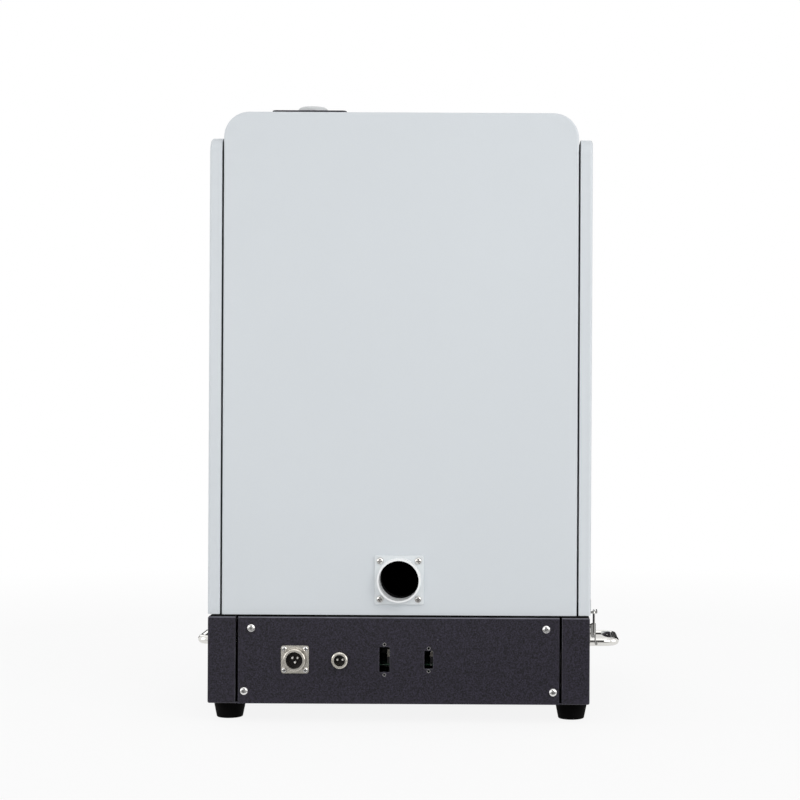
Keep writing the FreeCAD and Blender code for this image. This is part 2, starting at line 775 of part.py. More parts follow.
# Sockets in the rear plate
def power_shell():
    half = POWER_FLANGE / 2
    flange = rounded_box(
        POWER_X - half, POWER_X + half, REAR_Y, REAR_Y + POWER_FLANGE_T, SOCKET_Z - half, SOCKET_Z + half,
        ALONG_Y, POWER_FLANGE_R
    )
    barrel = rod(POWER_X, REAR_Y, SOCKET_Z, ALONG_Y, POWER_BARREL_R, SOCKET_REACH)
    barrel = barrel.makeChamfer(
        (POWER_BARREL_R - POWER_BORE_R) / 4,
        [edge for edge in barrel.Edges if lies_at(edge, ALONG_Y, REAR_Y + SOCKET_REACH)]
    )
    body = rod(POWER_X, REAR_Y - POWER_BODY_L, SOCKET_Z, ALONG_Y, POWER_BODY_R, POWER_BODY_L)
    shell = flange.multiFuse([barrel, body]).removeSplitter()
    bore = rod(POWER_X, REAR_Y - POWER_BODY_L, SOCKET_Z, ALONG_Y, POWER_BORE_R, POWER_BODY_L + SOCKET_REACH)
    holes = [
        rod(place.x, place.y, place.z, ALONG_Y, SMALL_SHANK_R + BUTTON_HOLE_FIT, POWER_FLANGE_T)
        for place in power_screw_places()
    ]
    return shell.cut([bore] + holes)


def sensor_shell():
    ring_front = rod(SENSOR_X, REAR_Y, SOCKET_Z, ALONG_Y, SENSOR_RING_R, SOCKET_REACH)
    ring_front = ring_front.makeChamfer(
        SENSOR_RING_BEVEL,
        [edge for edge in ring_front.Edges if lies_at(edge, ALONG_Y, REAR_Y + SOCKET_REACH)]
    )
    body = rod(SENSOR_X, REAR_Y - SENSOR_BODY_L, SOCKET_Z, ALONG_Y, SENSOR_BODY_R, SENSOR_BODY_L)
    bore_l = SENSOR_BODY_L + SOCKET_REACH
    bore = rod(SENSOR_X, REAR_Y - SENSOR_BODY_L, SOCKET_Z, ALONG_Y, SENSOR_BORE_R, bore_l)
    return ring_front.fuse(body).removeSplitter().cut(bore)


def socket_shells():
    return Part.makeCompound([power_shell(), sensor_shell()])


def socket_pin_places():
    places = []
    for degrees in (30, 150, 270):
        angle = math.radians(degrees)
        across = POWER_PIN_CIRCLE_R * math.cos(angle)
        up = POWER_PIN_CIRCLE_R * math.sin(angle)
        places.append(V(POWER_X + across, REAR_Y - INSERT_IN, SOCKET_Z + up))
    for side in (-1, 1):
        places.append(V(SENSOR_X + side * SENSOR_PIN_PITCH / 2, REAR_Y - INSERT_IN, SOCKET_Z))
    return places


def socket_inserts():
    y0 = REAR_Y - INSERT_IN - INSERT_L
    discs = [
        rod(POWER_X, y0, SOCKET_Z, ALONG_Y, POWER_BORE_R - PRESS_FIT, INSERT_L),
        rod(SENSOR_X, y0, SOCKET_Z, ALONG_Y, SENSOR_BORE_R - PRESS_FIT, INSERT_L),
    ]
    holes = [
        rod(place.x, y0, place.z, ALONG_Y, SOCKET_PIN_R + PRESS_FIT, INSERT_L) for place in socket_pin_places()
    ]
    return Part.makeCompound([disc.cut(holes) for disc in discs])


def socket_pins():
    length = SOCKET_PIN_TAIL + INSERT_L + INSERT_IN + SOCKET_PIN_PROUD
    pins = []
    for place in socket_pin_places():
        tail_y = place.y - INSERT_L - SOCKET_PIN_TAIL
        pin = rod(place.x, tail_y, place.z, ALONG_Y, SOCKET_PIN_R, length)
        tip = [edge for edge in pin.Edges if lies_at(edge, ALONG_Y, tail_y + length)]
        pins.append(pin.makeFillet(SOCKET_PIN_R * 0.8, tip))
    return Part.makeCompound(pins)


def socket_screws():
    screw = cross_screw(SMALL_SHANK_R, SMALL_HEAD_R, SMALL_HEAD_H, SMALL_SCREW_L)
    seat = V(0, POWER_FLANGE_T, 0)
    return Part.makeCompound([aimed(screw, place + seat, ALONG_Y) for place in power_screw_places()])


# Handles on the plinth's sides
def side_handles():
    near, far = handle_leg_places()
    reach = V(HANDLE_OUT - HANDLE_ROD_R, 0, 0)
    bow = bent_rod([near, near + reach, far + reach, far], HANDLE_BEND_R, HANDLE_ROD_R)
    solids = []
    for place in (near, far):
        bow = bow.cut(rod(place.x, place.y, place.z, ALONG_X, BUTTON_SHANK_R + PRESS_FIT, HANDLE_TAP_L))
    solids.append(bow)
    for place in (near, far):
        collar = ring(place.x, place.y, place.z, ALONG_X, COLLAR_R, HANDLE_ROD_R + PRESS_FIT, COLLAR_L)
        outer_rim = [
            edge for edge in collar.Edges
            if lies_at(edge, ALONG_X, place.x + COLLAR_L) and edge.Curve.Radius > HANDLE_ROD_R + 1
        ]
        solids.append(collar.makeFillet((COLLAR_R - HANDLE_ROD_R) / 2, outer_rim))
    return Part.makeCompound(solids + [mirrored(solid) for solid in solids])


# Draw latch: every place is given by its distance out from the plinth's side
def latch_box(out0, out1, y0, y1, z0, z1):
    return box(-PLINTH_X - out1, -PLINTH_X - out0, LATCH_Y + y0, LATCH_Y + y1, z0, z1)


def latch_rod(out, y0, y1, z, radius):
    return rod(-PLINTH_X - out, LATCH_Y + y0, z, ALONG_Y, radius, y1 - y0)


LATCH_PIVOT_Z = PLINTH_Z1 - LATCH_PIVOT_DOWN
LATCH_CRANK_Z = LATCH_PIVOT_Z - LATCH_CRANK
BAIL_BAR_Z = SIDE_Z0 + BAIL_BAR_UP
LATCH_CHEEK_Y = LATCH_EAR_IN + LATCH_EAR_T + EASY_FIT
LATCH_LEVER_Y = LATCH_CHEEK_Y + LATCH_EAR_T
LATCH_WEB_OUT = LATCH_PIVOT_OUT + LATCH_EAR_R + EASY_FIT


def latch_plate():
    low = LATCH_PIVOT_Z - LATCH_LEVER_L
    high = LATCH_PIVOT_Z + LATCH_EAR_R + 2 * EASY_FIT
    plate = latch_box(0, LATCH_PLATE_T, -LATCH_PLATE_HALF_W, LATCH_PLATE_HALF_W, low, high)
    plate = round_edges(plate, BAIL_BEND_R, lambda edge: runs_along(edge, ALONG_X))
    pieces = []
    for side in (-1, 1):
        y0, y1 = sorted((side * LATCH_EAR_IN, side * (LATCH_EAR_IN + LATCH_EAR_T)))
        pieces.append(
            latch_box(0, LATCH_PIVOT_OUT, y0, y1, LATCH_PIVOT_Z - LATCH_EAR_R, LATCH_PIVOT_Z + LATCH_EAR_R)
        )
        pieces.append(latch_rod(LATCH_PIVOT_OUT, y0, y1, LATCH_PIVOT_Z, LATCH_EAR_R))
    pin_y = LATCH_LEVER_Y + EASY_FIT
    pieces.append(latch_rod(LATCH_PIVOT_OUT, -pin_y, pin_y, LATCH_PIVOT_Z, LATCH_PIN_R))
    return plate.multiFuse(pieces).removeSplitter()


def latch_lever():
    web_in = LATCH_WEB_OUT
    web_out = web_in + LATCH_LEVER_T
    low = LATCH_PIVOT_Z - LATCH_LEVER_L
    high = LATCH_PIVOT_Z + LATCH_LEVER_TOP
    web = latch_box(web_in, web_out, -LATCH_LEVER_Y, LATCH_LEVER_Y, low, high)
    curl = latch_rod(web_in + LATCH_CURL_R, -LATCH_LEVER_Y, LATCH_LEVER_Y, low, LATCH_CURL_R)
    cheek_in = LATCH_PIVOT_OUT - LATCH_EAR_R - EASY_FIT
    pieces = [curl]
    for side in (-1, 1):
        y0, y1 = sorted((side * LATCH_CHEEK_Y, side * LATCH_LEVER_Y))
        cheek = latch_box(cheek_in, web_out, y0, y1, LATCH_PIVOT_Z - LATCH_CHEEK_L, high)
        inner = -PLINTH_X - cheek_in
        cheek = round_edges(
            cheek, LATCH_EAR_R, lambda edge: runs_along(edge, ALONG_Y) and lies_at(edge, ALONG_X, inner)
        )
        pieces.append(cheek)
    lever = web.multiFuse(pieces).removeSplitter()
    hole_y = LATCH_LEVER_Y + 1
    lever = lever.cut(latch_rod(LATCH_PIVOT_OUT, -hole_y, hole_y, LATCH_PIVOT_Z, LATCH_PIN_R + RUN_FIT))
    return lever.cut(latch_rod(BAIL_OUT, -hole_y, hole_y, LATCH_CRANK_Z, BAIL_WIRE_R + RUN_FIT))


def latch_bail():
    x = -PLINTH_X - BAIL_OUT
    end = LATCH_CHEEK_Y + EASY_FIT
    points = [
        V(x, LATCH_Y - end, LATCH_CRANK_Z),
        V(x, LATCH_Y - BAIL_HALF_W, LATCH_CRANK_Z),
        V(x, LATCH_Y - BAIL_HALF_W, BAIL_BAR_Z),
        V(x, LATCH_Y + BAIL_HALF_W, BAIL_BAR_Z),
        V(x, LATCH_Y + BAIL_HALF_W, LATCH_CRANK_Z),
        V(x, LATCH_Y + end, LATCH_CRANK_Z),
    ]
    return bent_rod(points, BAIL_BEND_R, BAIL_WIRE_R)


def latch_keeper():
    face = SIDE_PROUD
    floor_z = BAIL_BAR_Z - BAIL_WIRE_R - RUN_FIT
    lip_in = BAIL_OUT + BAIL_WIRE_R + HOOK_PLAY
    lip_out = lip_in + HOOK_T
    plate = latch_box(
        face, face + KEEPER_T, -KEEPER_HALF_W, KEEPER_HALF_W, floor_z - HOOK_T, floor_z + KEEPER_H
    )
    plate = round_edges(plate, BAIL_BEND_R, lambda edge: runs_along(edge, ALONG_X))
    floor = latch_box(face, lip_out, -HOOK_HALF_W, HOOK_HALF_W, floor_z - HOOK_T, floor_z)
    lip_top = BAIL_BAR_Z + HOOK_LIP_UP
    lip = latch_box(lip_in, lip_out, -HOOK_HALF_W, HOOK_HALF_W, floor_z - HOOK_T, lip_top)
    hook = floor.fuse(lip).removeSplitter()
    outer = -PLINTH_X - lip_out
    hook = round_edges(
        hook, HOOK_T * 0.8,
        lambda edge: runs_along(edge, ALONG_Y) and lies_at(edge, ALONG_X, outer) and edge.CenterOfMass.z < floor_z
    )
    return plate.fuse(hook).removeSplitter()


# Hood
def end_pan(face_y, inward):
    """A hood end panel: a shallow pan whose folded rim meets the wrapped shell, with a plain foot."""
    back_y = face_y + inward * PAN_DEPTH
    y0, y1 = sorted((face_y, back_y))
    outer = arch(HOOD_X, y0, y1, HOOD_Z0, HOOD_Z1, HOOD_CORNER_R)
    bend = lambda edge: lies_at(edge, ALONG_Y, face_y) and not lies_at(edge, ALONG_Z, HOOD_Z0)
    outer = round_edges(outer, HOOD_BEND_R, bend)
    y0, y1 = sorted((face_y + inward * SHEET, back_y))
    inner = arch(HOOD_X - SHEET, y0, y1, HOOD_Z0 + SHEET, HOOD_Z1 - SHEET, HOOD_CORNER_R - SHEET)
    return outer.cut(inner)


def vent_centre():
    return V(VENT_X, HOOD_REAR - VENT_BACK_IN - VENT_SIZE / 2, HOOD_Z1)


def vent_slots(z, height, turn):
    """The ring of sector slots of the vent, as cutters."""
    centre = vent_centre()
    place = V(centre.x, centre.y, z)
    cutters = []
    for step in range(VENT_SLOTS):
        outer = Part.makeCylinder(VENT_SLOT_OUT_R, height, place, ALONG_Z, VENT_SLOT_DEG)
        inner = Part.makeCylinder(VENT_SLOT_IN_R, height, place, ALONG_Z, VENT_SLOT_DEG)
        cutters.append(turned(outer.cut(inner), place, ALONG_Z, 360 / VENT_SLOTS * step + turn))
    return cutters


def hood_shell():
    y0 = HOOD_FRONT + PAN_DEPTH + SEAM
    y1 = HOOD_REAR - PAN_DEPTH - SEAM
    outer = arch(HOOD_X, y0, y1, HOOD_Z0, HOOD_Z1, HOOD_CORNER_R)
    shell = outer.cut(arch(HOOD_X - SHEET, y0, y1, HOOD_Z0, HOOD_Z1 - SHEET, HOOD_CORNER_R - SHEET))
    flange = box(HOOD_X - SHEET - HOOD_FLANGE, HOOD_X - SHEET / 2, y0, y1, HOOD_Z0, HOOD_Z0 + SHEET)
    shell = shell.multiFuse([flange, mirrored(flange)]).removeSplitter()
    return shell.cut(vent_slots(HOOD_Z1 - 2 * SHEET, 3 * SHEET, 0))


def port_screw_places():
    return [V(a, HOOD_REAR, PORT_Z + b) for a, b in square_corners(PORT_SCREW_PITCH)]


def rear_panel():
    cuts = [rod(0, HOOD_REAR - SHEET, PORT_Z, ALONG_Y, PORT_TUBE_R + EASY_FIT, SHEET)]
    for place in port_screw_places():
        cuts.append(rod(place.x, HOOD_REAR - SHEET, place.z, ALONG_Y, PAN_SHANK_R + BUTTON_HOLE_FIT, SHEET))
    return end_pan(HOOD_REAR, -1).cut(cuts)


def louvre_cuts():
    cuts = []
    for column in range(LOUVRE_COLUMNS):
        for row in range(LOUVRE_ROWS):
            x = (column - (LOUVRE_COLUMNS - 1) / 2) * LOUVRE_PITCH_X
            z = HOOD_Z0 + LOUVRE_UP + (row - (LOUVRE_ROWS - 1) / 2) * LOUVRE_PITCH_Z
            half_w = LOUVRE_W / 2
            half_h = LOUVRE_H / 2
            cuts.append(
                rounded_box(
                    x - half_w, x + half_w, HOOD_FRONT, HOOD_FRONT + SHEET, z - half_h, z + half_h,
                    ALONG_Y, half_h * 0.98
                )
            )
    return cuts


def front_panel():
    y1 = HOOD_FRONT + SHEET
    half_w = OPENING_W / 2
    half_h = OPENING_H / 2
    cuts = louvre_cuts()
    cuts.append(
        rounded_box(
            -half_w, half_w, HOOD_FRONT, y1, CHAMBER_MID - half_h, CHAMBER_MID + half_h, ALONG_Y, OPENING_R
        )
    )
    half_w = FASCIA_X - FASCIA_LAP
    half_h = FASCIA_H / 2 - FASCIA_LAP
    cuts.append(box(-half_w, half_w, HOOD_FRONT, y1, FASCIA_Z - half_h, FASCIA_Z + half_h))
    return end_pan(HOOD_FRONT, 1).cut(cuts)


def side_panel_right():
    y0 = HOOD_FRONT
    y1 = HOOD_REAR
    outer = box(SIDE_X0, SIDE_X1, y0, y1, SIDE_Z0, SIDE_Z1)
    outer = round_edges(
        outer, SIDE_TOP_R, lambda edge: runs_along(edge, ALONG_X) and lies_at(edge, ALONG_Z, SIDE_Z1)
    )
    for x, radius in ((SIDE_X1, SIDE_EDGE_R), (SIDE_X0, SIDE_INNER_R)):
        bend = lambda edge: lies_at(edge, ALONG_X, x) and not lies_at(edge, ALONG_Z, SIDE_Z0)
        outer = round_edges(outer, radius, bend)
    inner = box(
        SIDE_X0 + SHEET, SIDE_X1 - SHEET, y0 + SHEET, y1 - SHEET, SIDE_Z0 + SHEET, SIDE_Z1 - SHEET
    )
    inner = round_edges(
        inner, SIDE_TOP_R - SHEET,
        lambda edge: runs_along(edge, ALONG_X) and lies_at(edge, ALONG_Z, SIDE_Z1 - SHEET)
    )
    mouth = rounded_box(
        SIDE_X0, SIDE_X0 + SHEET, y0 + SIDE_LIP, y1 - SIDE_LIP, SIDE_Z0 + SIDE_LIP, SIDE_Z1 - SIDE_LIP,
        ALONG_X, SIDE_MOUTH_R
    )
    panel = outer.cut([inner, mouth])
    bosses = []
    for y in (y0 + SIDE_BOSS_IN, y1 - SIDE_BOSS_IN):
        for z in (SIDE_Z0 + SIDE_BOSS_IN, SIDE_Z1 - SIDE_BOSS_IN):
            bosses.append(rod(HOOD_X, y, z, ALONG_X, SIDE_BOSS_R, SIDE_X1 - SHEET - HOOD_X))
    return panel.multiFuse(bosses)


def side_panel_left():
    return mirrored(side_panel_right())


# Fume outlet
def exhaust_spigot():
    half = PORT_FLANGE / 2
    face = HOOD_REAR + PORT_FLANGE_T
    flange = rounded_box(-half, half, HOOD_REAR, face, PORT_Z - half, PORT_Z + half, ALONG_Y, PORT_FLANGE_R)
    flange = round_edges(flange, PORT_FLANGE_T / 4, lambda edge: lies_at(edge, ALONG_Y, face))
    length = face + PORT_REACH - FAN_Y1
    tube = rod(0, FAN_Y1, PORT_Z, ALONG_Y, PORT_TUBE_R, length)
    tube = round_edges(tube, PORT_WALL / 3, lambda edge: lies_at(edge, ALONG_Y, FAN_Y1 + length))
    cuts = [rod(0, FAN_Y1, PORT_Z, ALONG_Y, PORT_TUBE_R - PORT_WALL, length)]
    for place in port_screw_places():
        cuts.append(rod(place.x, place.y, place.z, ALONG_Y, PAN_SHANK_R + BUTTON_HOLE_FIT, PORT_FLANGE_T))
    return flange.fuse(tube).removeSplitter().cut(cuts)


def spigot_screws():
    screw = cross_screw(PAN_SHANK_R, PAN_HEAD_R, PAN_HEAD_H, PAN_SCREW_L)
    seat = V(0, PORT_FLANGE_T, 0)
    return Part.makeCompound([aimed(screw, place + seat, ALONG_Y) for place in port_screw_places()])


def fan_frame():
    """A square fan frame along +Z with its motor plate and struts at the far end."""
    half = FAN_SIZE / 2
    frame = rounded_box(-half, half, -half, half, 0, FAN_DEPTH, ALONG_Z, FAN_CORNER_R)
    frame = frame.cut(rod(0, 0, 0, ALONG_Z, FAN_BORE_R, FAN_DEPTH))
    plate_z = FAN_DEPTH - FAN_HUB_PLATE
    pieces = [rod(0, 0, plate_z, ALONG_Z, FAN_HUB_R, FAN_HUB_PLATE)]
    for step in range(4):
        strut = box(0, FAN_BORE_R + 0.5, -FAN_STRUT / 2, FAN_STRUT / 2, plate_z, FAN_DEPTH)
        pieces.append(turned(strut, V(0, 0, 0), ALONG_Z, 90 * step))
    frame = frame.multiFuse(pieces).removeSplitter()
    frame = frame.cut(rod(0, 0, plate_z, ALONG_Z, FAN_SPINDLE_R + RUN_FIT, FAN_HUB_PLATE))
    holes = [rod(a, b, 0, ALONG_Z, FAN_HOLE_R, FAN_DEPTH) for a, b in square_corners(FAN_HOLE_PITCH)]
    return frame.cut(holes)


def fan_blade():
    """A twisted blade from inside the hub's rim out to the tip."""
    sections = []
    for radius, pitch in ((FAN_HUB_R - 2, 55), (FAN_BLADE_TIP_R, 32)):
        lean = math.radians(pitch)
        corners = []
        for a, b in ((-1, -1), (1, -1), (1, 1), (-1, 1)):
            along = a * FAN_BLADE_CHORD / 2
            across = b * FAN_BLADE_T / 2
            tangent = along * math.cos(lean) - across * math.sin(lean)
            rise = along * math.sin(lean) + across * math.cos(lean)
            corners.append(V(radius, tangent, rise))
        sections.append(Part.makePolygon(corners + [corners[0]]))
    return Part.makeLoft(sections, True, True)


def fan_rotor():
    """A fan rotor along +Z that runs in the frame above."""
    hub_h = FAN_DEPTH - FAN_HUB_PLATE - 2 * FAN_END_GAP
    hub = rod(0, 0, FAN_END_GAP, ALONG_Z, FAN_HUB_R, hub_h)
    hub = round_edges(hub, 1.5, lambda edge: lies_at(edge, ALONG_Z, FAN_END_GAP))
    pieces = [rod(0, 0, FAN_END_GAP, ALONG_Z, FAN_SPINDLE_R, FAN_DEPTH - 2 * FAN_END_GAP)]
    blade = fan_blade()
    blade.translate(V(0, 0, FAN_END_GAP + hub_h / 2))
    for step in range(FAN_BLADES):
        pieces.append(turned(blade, V(0, 0, 0), ALONG_Z, 360 / FAN_BLADES * step))
    return hub.multiFuse(pieces)


def exhaust_fan_frame():
    return aimed(fan_frame(), V(0, FAN_Y1, PORT_Z), -ALONG_Y)


def exhaust_fan_rotor():
    return aimed(fan_rotor(), V(0, FAN_Y1, PORT_Z), -ALONG_Y)


def cooler_place():
    return V(COOLER_X, FRONT_Y + COOLER_FROM_FRONT, FLOOR_Z + FAN_DEPTH)


def cooling_fan_frame():
    return aimed(fan_frame(), cooler_place(), -ALONG_Z)


def cooling_fan_rotor():
    return aimed(fan_rotor(), cooler_place(), -ALONG_Z)


def outlet_z():
    return CHAMBER_Z0 + OUTLET_UP


def fume_duct():
    half = DUCT_W / 2
    top = outlet_z() + OUTLET_R + DUCT_OVER
    outer = box(-half, half, INSULATION_Y1, DUCT_Y1, HOOD_Z0, top)
    outer = round_edges(outer, BEND_R, lambda edge: runs_along(edge, ALONG_Z))
    inner = box(
        -half + DUCT_T, half - DUCT_T, INSULATION_Y1 + DUCT_T, DUCT_Y1 - DUCT_T, HOOD_Z0 + DUCT_T, top - DUCT_T
    )
    duct = outer.cut(inner)
    collar_l = INSULATION_T + DUCT_T
    collar = rod(0, LINER_Y1, outlet_z(), ALONG_Y, OUTLET_R, collar_l)
    duct = duct.fuse(collar)
    duct = duct.cut(rod(0, LINER_Y1, outlet_z(), ALONG_Y, OUTLET_R - DUCT_T, collar_l))
    return duct.cut(rod(0, DUCT_Y1 - DUCT_T, PORT_Z, ALONG_Y, FAN_BORE_R - DUCT_T, DUCT_T))


# Chamber
def chamber_frame():
    """Two welded side cheeks with shelf flanges, joined by the motor bridge."""
    y0 = HOOD_FRONT + PAN_DEPTH + SEAM
    y1 = INSULATION_Y1
    cheek = box(CHEEK_X0, CHEEK_X1, y0, y1, HOOD_Z0, BRIDGE_Z)
    foot = box(CHEEK_X0 - CHEEK_FOOT_W, CHEEK_X1, y0, y1, HOOD_Z0, HOOD_Z0 + SHEET)
    shelf = box(INSULATION_X - SHELF_W, CHEEK_X1, y0, y1, SHELF_Z - SHEET, SHELF_Z)
    side = cheek.multiFuse([foot, shelf]).removeSplitter()
    window = rounded_box(
        CHEEK_X0, CHEEK_X1, y0 + 40, y1 - 40, HOOD_Z0 + 40, SHELF_Z - 40, ALONG_X, 12
    )
    side = side.cut(window)
    bridge_y0 = CHAMBER_Y - BRIDGE_D / 2
    bridge_y1 = CHAMBER_Y + BRIDGE_D / 2
    bridge = box(-CHEEK_X1, CHEEK_X1, bridge_y0, bridge_y1, BRIDGE_Z, BRIDGE_Z + BRIDGE_T)
    frame = bridge.multiFuse([side, mirrored(side)]).removeSplitter()
    return frame.cut(rod(0, CHAMBER_Y, BRIDGE_Z, ALONG_Z, SHAFT_HOLE_R, BRIDGE_T))


def chamber_liner():
    outer = box(-LINER_X, LINER_X, LINER_Y0, LINER_Y1, LINER_Z0, LINER_Z1)
    lip_x = LINER_X + LINER_FLANGE
    flange = rounded_box(
        -lip_x, lip_x, LINER_Y0, LINER_Y0 + LINER_T, LINER_Z0 - LINER_FLANGE, LINER_Z1 + LINER_FLANGE,
        ALONG_Y, OPENING_R
    )
    liner = outer.fuse(flange).removeSplitter()
    liner = liner.cut(box(-CHAMBER_X, CHAMBER_X, LINER_Y0, LINER_Y1 - LINER_T, CHAMBER_Z0, CHAMBER_Z1))
    cuts = [
        rod(0, CHAMBER_Y, CHAMBER_Z1, ALONG_Z, SHAFT_HOLE_R, LINER_T),
        rod(0, LINER_Y1 - LINER_T, outlet_z(), ALONG_Y, OUTLET_R - DUCT_T, LINER_T),
        rod(PROBE_X, LINER_Y1 - LINER_T, CHAMBER_Z0 + PROBE_UP, ALONG_Y, PROBE_R + RUN_FIT, LINER_T),
    ]
    return liner.cut(cuts)


def insulation_boards():
    y0 = LINER_Y0 + LINER_T
    below = box(-INSULATION_X, INSULATION_X, y0, INSULATION_Y1, SHELF_Z, LINER_Z0)
    above = box(-INSULATION_X, INSULATION_X, y0, INSULATION_Y1, LINER_Z1, LINER_Z1 + INSULATION_T)
    above = above.cut(rod(0, CHAMBER_Y, LINER_Z1, ALONG_Z, SHAFT_HOLE_R, INSULATION_T))
    side = box(LINER_X, INSULATION_X, y0, LINER_Y1, LINER_Z0, LINER_Z1)
    rear = box(-INSULATION_X, INSULATION_X, LINER_Y1, INSULATION_Y1, LINER_Z0, LINER_Z1)
    rear = rear.cut(rod(0, LINER_Y1, outlet_z(), ALONG_Y, OUTLET_R + EASY_FIT, INSULATION_T))
    rear = rear.cut(rod(PROBE_X, LINER_Y1, CHAMBER_Z0 + PROBE_UP, ALONG_Y, GLAND_R + EASY_FIT, INSULATION_T))
    return Part.makeCompound([below, above, side, mirrored(side), rear])


def tube_places():
    places = []
    for count, up in ((HIGH_TUBES, TUBE_UP_HIGH), (LOW_TUBES, TUBE_UP_LOW)):
        for step in range(count):
            y = CHAMBER_Y + (step / (count - 1) - 0.5) * TUBE_SPREAD
            places.append(V(0, y, CHAMBER_Z0 + up))
    return places


def heater_tubes():
    half = CHAMBER_X - CAP_L + CAP_SOCKET
    return Part.makeCompound(
        [rod(-half, place.y, place.z, ALONG_X, TUBE_R, 2 * half) for place in tube_places()]
    )


def heater_caps():
    caps = []
    for place in tube_places():
        cap = rod(CHAMBER_X - CAP_L, place.y, place.z, ALONG_X, CAP_R, CAP_L)
        cap = round_edges(cap, 2, lambda edge: lies_at(edge, ALONG_X, CHAMBER_X - CAP_L))
        cap = cap.cut(rod(CHAMBER_X - CAP_L, place.y, place.z, ALONG_X, TUBE_R + RUN_FIT, CAP_SOCKET))
        caps.extend([cap, mirrored(cap)])
    return Part.makeCompound(caps)


def diffuser_plate():
    z0 = CHAMBER_Z1 - DIFFUSER_DOWN
    y0 = LINER_Y0 + 2 * LINER_T
    y1 = LINER_Y1 - 2 * LINER_T
    plate = box(-CHAMBER_X, CHAMBER_X, y0, y1, z0, z0 + LINER_T)
    fold = box(CHAMBER_X - LINER_T, CHAMBER_X, y0, y1, z0, z0 + DIFFUSER_FOLD)
    plate = plate.multiFuse([fold, mirrored(fold)]).removeSplitter()
    holes = []
    for column in range(DIFFUSER_COLUMNS):
        for row in range(DIFFUSER_ROWS):
            x = (column - (DIFFUSER_COLUMNS - 1) / 2) * DIFFUSER_PITCH
            y = CHAMBER_Y + (row - (DIFFUSER_ROWS - 1) / 2) * DIFFUSER_PITCH
            holes.append(rod(x, y, z0, ALONG_Z, DIFFUSER_HOLE_R, LINER_T))
    return plate.cut(holes)


def thermocouple():
    z = CHAMBER_Z0 + PROBE_UP
    probe = rod(PROBE_X, LINER_Y1 - LINER_T - PROBE_L, z, ALONG_Y, PROBE_R, PROBE_L + LINER_T)
    tip = [edge for edge in probe.Edges if lies_at(edge, ALONG_Y, LINER_Y1 - LINER_T - PROBE_L)]
    probe = probe.makeFillet(PROBE_R * 0.9, tip)
    return probe.fuse(rod(PROBE_X, LINER_Y1, z, ALONG_Y, GLAND_R, GLAND_L)).removeSplitter()


def circulation_motor():
    z = BRIDGE_Z + BRIDGE_T
    flange = rod(0, CHAMBER_Y, z, ALONG_Z, MOTOR_FLANGE_R, MOTOR_FLANGE_T)
    can = rod(0, CHAMBER_Y, z, ALONG_Z, MOTOR_R, MOTOR_H)
    can = round_edges(can, BEND_R, lambda edge: lies_at(edge, ALONG_Z, z + MOTOR_H))
    lid = rod(0, CHAMBER_Y, z, ALONG_Z, MOTOR_LID_R, MOTOR_H + MOTOR_LID_H)
    lid = round_edges(lid, BEND_R, lambda edge: lies_at(edge, ALONG_Z, z + MOTOR_H + MOTOR_LID_H))
    motor = can.multiFuse([flange, lid]).removeSplitter()
    return motor.cut(rod(0, CHAMBER_Y, z, ALONG_Z, SHAFT_R + RUN_FIT, MOTOR_BORE_L))


def impeller_vane():
    """A backward-curved vane as a thin arc strip, standing on z = 0."""
    start = V(IMPELLER_EYE_R, 0, 0)
    finish = V(IMPELLER_R * 0.92, IMPELLER_R * 0.34, 0)
    sag = V((start.x + finish.x) / 2 + 2, finish.y / 2 - 7, 0)
    step = V(0, IMPELLER_VANE_T, 0)
    outline = [
        Part.Arc(start, sag, finish).toShape(),
        Part.makeLine(finish, finish + step),
        Part.Arc(finish + step, sag + step, start + step).toShape(),
        Part.makeLine(start + step, start),
    ]
    return Part.Face(Part.Wire(outline)).extrude(ALONG_Z * IMPELLER_H)


def circulation_fan():
    disc_z = CHAMBER_Z1 - IMPELLER_ROOF_GAP - IMPELLER_DISC
    disc = rod(0, 0, IMPELLER_H, ALONG_Z, IMPELLER_R, IMPELLER_DISC)
    hub = rod(0, 0, 0, ALONG_Z, IMPELLER_HUB_R, IMPELLER_H)
    shaft_top = BRIDGE_Z + BRIDGE_T + MOTOR_BORE_L - FAN_END_GAP
    shaft = rod(0, 0, 0, ALONG_Z, SHAFT_R, shaft_top - disc_z + IMPELLER_H)
    vane = impeller_vane()
    vanes = [turned(vane, V(0, 0, 0), ALONG_Z, 360 / IMPELLER_VANES * step) for step in range(IMPELLER_VANES)]
    fan = disc.multiFuse([hub, shaft] + vanes).removeSplitter()
    fan.translate(V(0, CHAMBER_Y, disc_z - IMPELLER_H))
    return fan


# Top vent
def vent_plate():
    centre = vent_centre()
    half = VENT_SIZE / 2
    plate = rounded_box(
        centre.x - half, centre.x + half, centre.y - half, centre.y + half, HOOD_Z1, HOOD_Z1 + VENT_H,
        ALONG_Z, VENT_CORNER_R
    )
    plate = round_edges(plate, 1, lambda edge: lies_at(edge, ALONG_Z, HOOD_Z1 + VENT_H))
    recess_h = SHUTTER_T + 2 * SHUTTER_PLAY
    plate = plate.cut(rod(centre.x, centre.y, HOOD_Z1, ALONG_Z, SHUTTER_R + EASY_FIT, recess_h))
    plate = plate.cut(rod(centre.x, centre.y, HOOD_Z1, ALONG_Z, VENT_SPINDLE_R + RUN_FIT, VENT_H))
    return plate.cut(vent_slots(HOOD_Z1, VENT_H, 0))


